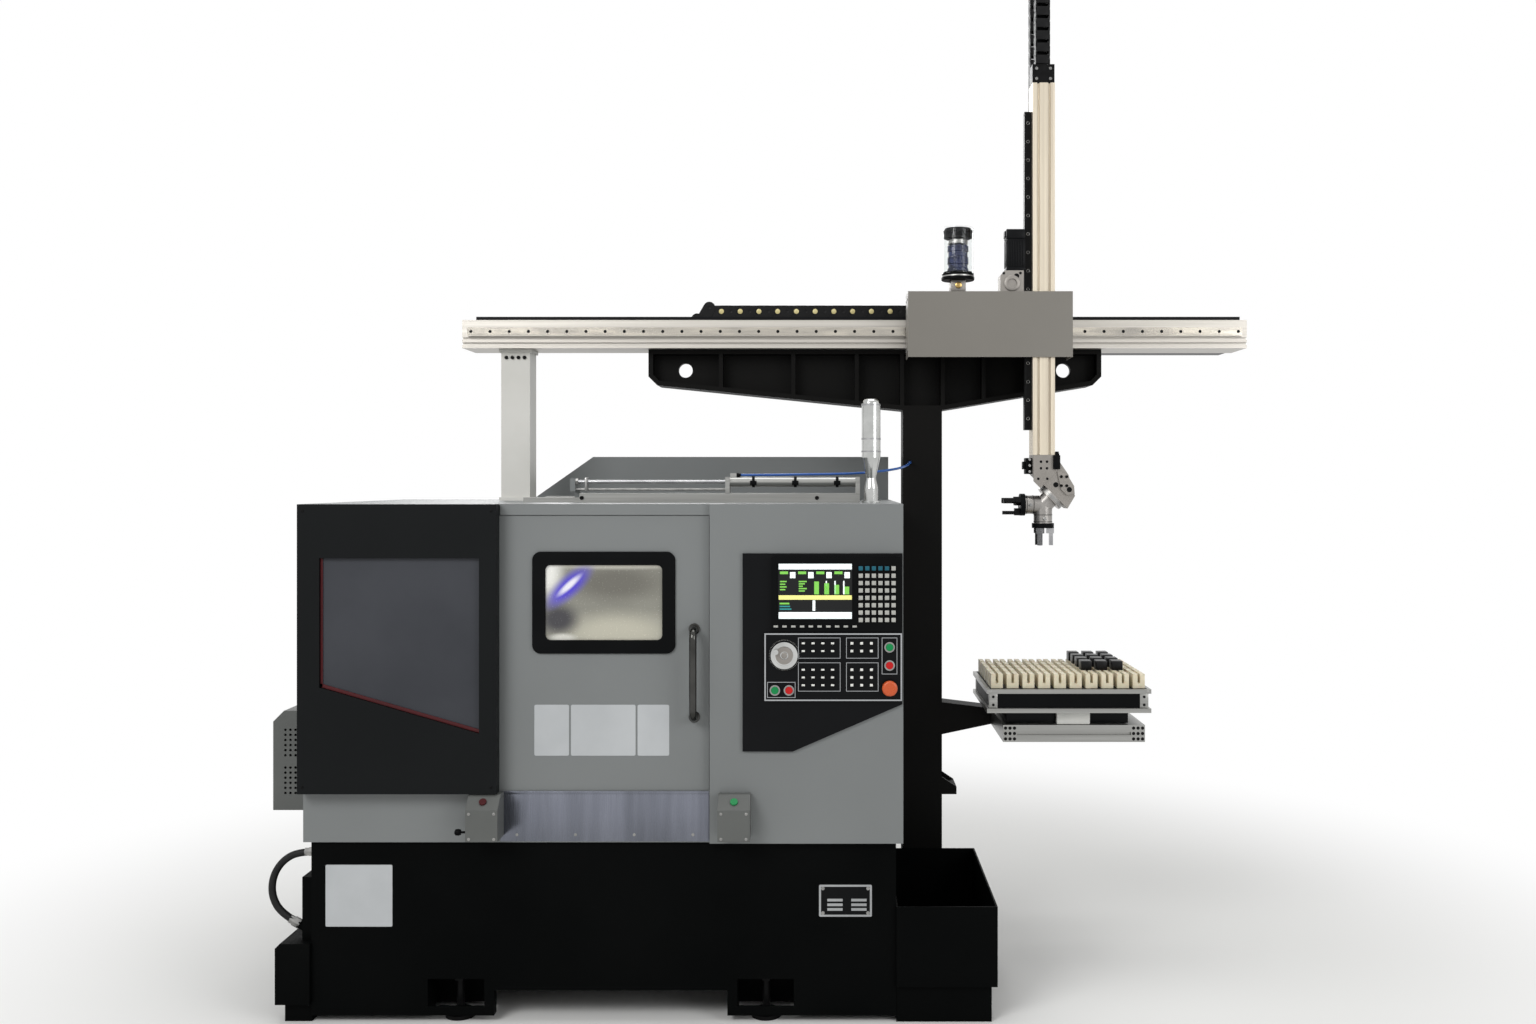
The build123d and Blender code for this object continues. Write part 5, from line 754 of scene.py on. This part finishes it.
# Motor of the upright axis: a cast gear head under a black motor with ribs, a cap and its cable box
plate([(1252, 2240), (1330, 2240), (1330, 2333), (1268, 2333), (1252, 2317)], 457, 66)
turned((1291, 457, 2290), OUT, [(0, 27), (3, 27), (5, 24), (5, 15), (1, 14)], 32)
settle("axis_gear_head", CAST, "carriage")
slab((1272, 1335.5), (458, 522), (2333, 2344), 2)
slab((1274, 1335.5), (460, 520), (2344, 2440), 2)
slab((1272, 1335.5), (458, 522), (2440, 2472), 3)
slab((1268, 1274), (474, 506), (2446, 2468), 1.5)
settle("axis_motor", MOTOR_BLACK, "carriage", ("z_motor",))
DRILLED_BORE = dimple("drilled_bore", 9, 0.5)
MOTOR_RIB = key_cap("motor_rib", 3, 90, 2, 0.6)
for side_name, middle, turn in (("front", (1304, 460, 2392), FRONT), ("left", (1274, 490, 2392), LEFT),
                                ("back", (1304, 520, 2392), BACK)):
    spread(f"motor_ribs_{side_name}", MOTOR_RIB, MOTOR_BLACK, middle, turn, 7, 1, 8, 0, body="carriage")
spread("gear_head_bore", DRILLED_BORE, BLACK_STEEL, (1306, 457, 2314), FRONT, 1, body="carriage")
spread("gear_head_bolts", PANEL_SCREW, BLACK_STEEL, (1291, 457, 2290), FRONT, 2, 2, 56, 68, body="carriage")

# Upright: the holes of its rail and the bolts of the chain clamp
spread("upright_rail_holes", RAIL_HOLE, ZINC, (1347, 475.1, 2334), FRONT, 1, 17, 0, 62, body="z_axis")
spread("chain_clamp_bolts", M6_HEAD, ZINC, (1396, 458, 2991), FRONT, 2, 2, 46, 34, body="z_axis")

# Wrist: drilled cheek plates, their bores and screws, the side valve and the connector
plate([(1361, 1714), (1361, 1628), (1384, 1605), (1431, 1652), (1431, 1714)], 447.5, 2.5)
for face in (444, 530):
    plate([(1440, 1660), (1452, 1601), (1472, 1581), (1498, 1585), (1496, 1612), (1470, 1655)], face, 6)
settle("wrist_cheeks", CAST, "z_axis")
spread("wrist_plate_holes", PLATE_HOLE, BLACK_STEEL, (1396, 447.5, 1682), FRONT, 2, 2, 20, 22, body="z_axis")
spread("wrist_lower_holes", PLATE_HOLE, BLACK_STEEL, (1392, 447.5, 1636), FRONT, 2, 1, 30, 0, body="z_axis")
spread("wrist_bolts", M6_HEAD, BLACK_STEEL, (1462, 444, 1628), FRONT, 2, 2, 18, 30, body="z_axis")
for bore, place in (("swivel", (1480, 444, 1600)), ("cheek", (1436, 450, 1616))):
    spread(f"wrist_{bore}_bore", DRILLED_BORE, BLACK_STEEL, place, FRONT, 1, body="z_axis")
slab((1426, 1449), (437, 480), (1668, 1715), 2)
for y in (448, 468):
    turned((1440, y, 1715), UP, [(0, 7), (6, 7), (7, 5.5), (12, 5.5)], 16)
settle("wrist_connector", BLACK_ABS, "z_axis")
slab((1338, 1358.8), (468, 512), (1652, 1706), 2)
slab((1330, 1338), (474, 506), (1668, 1694), 1.5)
VALVE_PORTS = (1660, 1680, 1700)
for z in VALVE_PORTS:
    turned((1349, 468, z), OUT, [(0, 5), (9, 5), (10, 4), (14, 4)], 16)
settle("wrist_valve", BLACK_ABS, "z_axis")
for z in VALVE_PORTS:
    turned((1349, 454.5, z), OUT, [(0, 4.6), (4, 4.6), (5, 3.6)], 16)
settle("wrist_valve_collets", ZINC, "z_axis")

# Gripper bodies: seal rings, black jaw plates, ports and the ring at the swivel
GRIP_MIDDLE = Vector((1399, 490, 1549))
GRIP_WAYS = (Vector((-1, 0, 0)), Vector((0, 0, -1)))
for way in GRIP_WAYS:
    tube(GRIP_MIDDLE + way * 62, way, 35.9, 37, 16.2)
    tube(GRIP_MIDDLE + way * 78, way, 9, 36, 0.2)
    for along in (33, 56):
        tube(GRIP_MIDDLE + way * along, way, 30.9, 31.8, 2)
settle("gripper_jaw_plates", BLACK_ABS, "swivel_head")
swivel_way = Vector((1, 0, 1)).normalized()
tube(GRIP_MIDDLE + swivel_way * 30, swivel_way, 48.1, 49.5, 10)
for way in GRIP_WAYS:
    turned(GRIP_MIDDLE + way * 47 - Vector((0, 32.5, 0)), OUT, [(-3, 6), (7, 6), (8, 4.5), (13, 4.5)], 16)
settle("gripper_ports", ZINC, "swivel_head")

# Tray: dark infill in the frame's sunk sides, a liner on top, corner posts, white slide, black sheets of
# painted shade under the tray, and black blanks
TRAY_X, TRAY_Z = (1198, 1705), (896.5, 943.5)
for y in ((298.5, 300.4), (689.6, 691.5)):
    slab(TRAY_X, y, TRAY_Z)
for x in ((1195.5, 1197.4), (1705.6, 1707.5)):
    slab(x, (300, 690), TRAY_Z)
slab(TRAY_X, (301, 689), (957.6, 958.5))
settle("tray_infill", BLACK_ABS, "tray")
for x in ((1194.5, 1222), (1681, 1708.5)):
    for y in ((297.5, 325), (665, 692.5)):
        slab(x, y, (896, 944), 1)
settle("tray_corner_posts", ("tray_anodised_aluminium", "aluminium"), "tray")
spread("tray_post_screws", PANEL_SCREW, BLACK_STEEL, (1451.5, 297.5, 920), FRONT, 2, 2, 486.5, 26, body="tray")
spread("tray_corner_screws", PANEL_SCREW, ZINC, (1451.5, 290, 950.5), FRONT, 2, 1, 505, 0, body="tray")
slab((1420.7, 1528.3), (340, 616), (837, 881.8), 1.5)
settle("tray_slide_block", ("white_nylon", "painted_white"), "tray")
# Black sheets beside the slide under the tray: painted shade, standing for the shade the tray casts there
for shade_sheet_x in ((1258, 1420), (1529, 1656)):
    slab(shade_sheet_x, (356, 640), (838, 881.8), 1.5)
settle("tray_drip_pans", SATIN_BLACK, "tray")
BLANK = key_cap("steel_blank", 34.8, 44.8, 30.6, 1.2)
spread("steel_blanks", BLANK, ("blank_black_oxide", "black_steel"), (1579, 533, 1003.9), TOP, 3, 4, 51, 76,
       body="tray")
for end, x in (("left", 1266.5), ("right", 1682.5)):
    spread(f"stand_profile_holes_{end}", PROFILE_HOLE, BLACK_STEEL, (x, 330, 808.5), FRONT, 3, 3, 14.5, 17.5)


# Drag chains: moulded links laid along each run and round the bend. The bend moves half as far as the chain's
# free end, and a run's links shear evenly from it
def path_tree():
    """A tree that lays a link evenly along a path, level with the across direction."""
    tree, given = open_tree("links_on_path", (("Path", "Object"), ("Link", "Object"), ("Count", "Int"),
                                              ("Across", "Vector"), ("Finish", "Material")))
    line = add(tree, "GeometryNodeObjectInfo", {"Object": given["Path"]})
    places = add(tree, "GeometryNodeResampleCurve", {"Curve": line.outputs["Geometry"],
                                                     "Count": given["Count"]})
    heading = add(tree, "GeometryNodeInputTangent").outputs["Tangent"]
    ahead = add(tree, "FunctionNodeAlignRotationToVector", {"Vector": heading}, axis="X")
    level = add(tree, "FunctionNodeAlignRotationToVector",
                {"Rotation": ahead, "Vector": given["Across"]}, axis="Y", pivot_axis="X")
    link = add(tree, "GeometryNodeObjectInfo", {"Object": given["Link"], "As Instance": True})
    copies = add(tree, "GeometryNodeInstanceOnPoints", {"Points": places, "Instance": link.outputs["Geometry"],
                                                        "Rotation": level})
    whole = add(tree, "GeometryNodeRealizeInstances", {"Geometry": copies})
    return close_tree(tree, whole, given["Finish"])


ON_PATH = path_tree()
LINK_HEIGHT = 43
BEND_RADIUS = 62
# A bend lies midway between two points this far off
FAR = 100000


def chain_link(name, width, pitch):
    """A link along X: lapping side plates with round ends, pivot bosses and two crossbars."""
    radius = LINK_HEIGHT / 2
    for side in (-1, 1):
        for end, face, lap in ((-1, width / 2, 2), (1, width / 2 - 2.2, 2)):
            turns = [radians(90 + 20 * i) for i in range(10)]
            nose = [(end * (pitch / 2 - radius * cos(t)), -end * radius * sin(t)) for t in turns]
            plate(nose + [(-end * 3, end * radius), (-end * 3, -end * radius)],
                  min(side * face, side * (face - lap)), lap)
        turned((-pitch / 2, side * width / 2, 0), (0, side, 0), [(0, 9), (0.6, 8.4), (0.6, 5), (0.2, 4)], 16)
    for z in (-radius + 2.5, radius - 2.5):
        slab((7 - pitch / 2, pitch / 2 - 7), (4 - width / 2, width / 2 - 4), (z - 2, z + 2), 0.8)
    return shape_of(name)


def lay_chain(name, link, points, count, across, bodies, start, end, look=CHAIN):
    """Lays links on a path of layout points; the bodies, start and end are not used."""
    material, slot = look
    path = line_of(name + "_path", "POLY", points)
    SHAPES.append(path)
    piece = grow(ON_PATH, name, {"Path": path, "Link": link, "Count": count, "Across": across,
                                 "Finish": MATERIALS[material]})
    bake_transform(piece)
    return piece


def run_links(first, last, count):
    """The middles of the first and last of the links that fill a straight run, and their count."""
    half = (Vector(last) - Vector(first)) / (2 * count)
    return [Vector(first) + half, Vector(last) - half], count


def bend_links(middle, first, ahead, count):
    """The path through the links of a half turn that starts at the first direction and heads ahead, and
    their count. The pivots lie on the bend's radius, so the middles lie a little inside it."""
    half = pi / (2 * count)
    radius = BEND_RADIUS * cos(half)
    turns = [half + (pi - 2 * half) * i / 32 for i in range(33)]
    return [Vector(middle) + (Vector(first) * cos(t) + Vector(ahead) * sin(t)) * radius for t in turns], count


X_LINK = chain_link("x_chain_link", 60, 67.4)
Z_LINK = chain_link("z_chain_link", 48, 43.2)
turned((0, -27.5, 0), OUT, [(0, 9), (4, 9), (5, 7.5)], 18)
X_DOT = shape_of("chain_dot")
X_BEND, X_FREE, X_FIXED = 259, 1000, 900
Z_BEND, Z_FREE, Z_FIXED = 3390, 3023, 2269


def x_line(x, side=0):
    """A point of the carriage's chain: side 1 is its upper run, -1 its lower run and 0 midway."""
    return (x, 820, 2175.8 + side * BEND_RADIUS)


def z_line(z, side=0):
    """A point of the upright's chain: side 1 is its back run, -1 its front run and 0 midway."""
    return (1396, 552 + side * BEND_RADIUS, z)


gantry = ("machine", "carriage")
upper_links = run_links(x_line(X_FREE, 1), x_line(X_BEND, 1), 11)
upper_reach = (x_line(2 * X_BEND - X_FREE, 1), x_line(X_FREE, 1))
upper = lay_chain("x_chain_upper_run", X_LINK, *upper_links, (0, 1, 0), gantry, *upper_reach)
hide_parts("x_cable_chain")
lay_chain("x_chain_dots", X_DOT, *upper_links, (0, 1, 0), gantry, *upper_reach,
          ("dot_yellow_nylon", "cream_plastic"))
lay_chain("x_chain_lower_run", X_LINK, *run_links(x_line(X_FIXED, -1), x_line(X_BEND, -1), 10), (0, 1, 0),
          gantry, x_line(X_FIXED, -1), x_line(2 * X_BEND - X_FIXED, -1))
lay_chain("x_chain_bend", X_LINK, *bend_links(x_line(X_BEND), UP, (-1, 0, 0), 3), (0, 1, 0),
          gantry, x_line(X_BEND - FAR), x_line(X_BEND + FAR))
upright = ("carriage", "z_axis")
front = lay_chain("z_chain_front_run", Z_LINK, *run_links(z_line(Z_FREE, -1), z_line(Z_BEND, -1), 9), ALONG,
                  upright, z_line(2 * Z_BEND - Z_FREE, -1), z_line(Z_FREE, -1))
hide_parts("z_cable_chain")
lay_chain("z_chain_back_run", Z_LINK, *run_links(z_line(Z_FIXED, 1), z_line(Z_BEND, 1), 26), ALONG,
          upright, z_line(Z_FIXED, 1), z_line(2 * Z_BEND - Z_FIXED, 1))
lay_chain("z_chain_bend", Z_LINK, *bend_links(z_line(Z_BEND), OUT, UP, 5), ALONG,
          upright, z_line(Z_BEND + FAR), z_line(Z_BEND - FAR))

# Fittings of the two free lines, the boxes' knob and screws, and the lamp's bands
turned(HOSE_ROUTE[0], (-1, 0, 0), [(0, 19), (10, 19), (10, 15), (30, 15), (33, 13), (44, 13)], 6)
way = Vector((52, 0, -29)).normalized()
turned(Vector(HOSE_ROUTE[-1]) - way * 30, way, [(0, 13), (12, 13), (12, 15.5), (34, 15.5)], 6)
settle("hose_fittings", ZINC)
turned(AIR_LINE_ROUTE[0], ALONG, [(0, 6.5), (9, 6.5), (10, 5.5), (14, 5.5)], 18)
turned(AIR_LINE_ROUTE[-1], OUT, [(0, 8), (8, 8), (8, 6.5), (18, 6.5), (20, 5.5)], 18)
settle("air_line_fittings", BLACK_ABS)
turned((-392.5, -42, 586), (-1, 0, 0), [(0, 7), (3, 7), (3, 3.5), (22, 3.5), (23, 8), (29, 10), (38, 9),
                                              (41, 5)], 24)
settle("box_lever_knob", BLACK_ABS)
for box, x in (("left", -345), ("right", 397)):
    spread(f"{box}_box_screws", PANEL_SCREW, ZINC, (x, -80, 612), FRONT, 2, 2, 74, 74)
for z in (1720, 1760, 1868):
    tube((812, 235, z), UP, 29.5, 31, 5, 48)
settle("lamp_bands", ("ground_steel", "chrome"))

# Hatch drive: a guide rod and its plate go with the hatch, and bands and switches sit on the air cylinder
CYLINDER = (277, 1626)
turned((-134, 277, 1602), ALONG, [(0, 4), (496, 4)], 20)
turned((-133.8, *CYLINDER), ALONG, [(0, 11), (8, 11)], 6)
slab((-103, -95), (264, 290), (1596, 1640), 1)
settle("hatch_guide", ZINC, "roof_hatch")
for x in (432, 566, 700):
    tube((x, *CYLINDER), ALONG, 16.1, 17.6, 9)
    slab((x - 6, x + 15), (256, 261), (1616, 1630), 1)
settle("cylinder_switches", BLACK_ABS)
spread("slide_bar_bolts", M8_HEAD, BLACK_STEEL, (264, 262, 1575), FRONT, 2, 1, 752, 0)

# Side covers: screwed sheets over the service openings of the enclosure's two ends
SHEET = 1.8
for side_name, x, turn, y, z in (("left", -900, LEFT, (90, 860), (930, 1480)),
                                 ("right", 900, RIGHT, (90, 600), (700, 1480))):
    out = x / abs(x)
    slab(sorted((x, x + SHEET * out)), y, z, 0.6)
    settle(f"{side_name}_end_cover", GREY_COAT)
    spread(f"{side_name}_end_cover_screws", PANEL_SCREW, ZINC, (x + SHEET * out, sum(y) / 2, sum(z) / 2), turn,
           2, 3, y[1] - y[0] - 50, (z[1] - z[0] - 50) / 2)

# Rear cabinet: two flush doors with louvres and latches
CABINET_BACK = 1242.5
for x in ((-404, 236), (244, 884)):
    slab(x, (1240, CABINET_BACK), (640, 1536), 1.0)
settle("cabinet_doors", GREY_COAT)
LOUVRE = key_cap("louvre", 150, 9, 4, 1.8)
LATCH = screw_head("quarter_turn_latch", 14, 5)
for door_name, x in (("left", -84), ("right", 564)):
    spread(f"cabinet_louvres_{door_name}", LOUVRE, GREY_COAT, (x, CABINET_BACK, 1380), BACK, 2, 9, 190, 18)
    spread(f"cabinet_latches_{door_name}", LATCH, ZINC, (x + 270, CABINET_BACK, 1060), BACK, 1, 3, 0, 330)

for shape in SHAPES:
    bpy.data.objects.remove(shape)
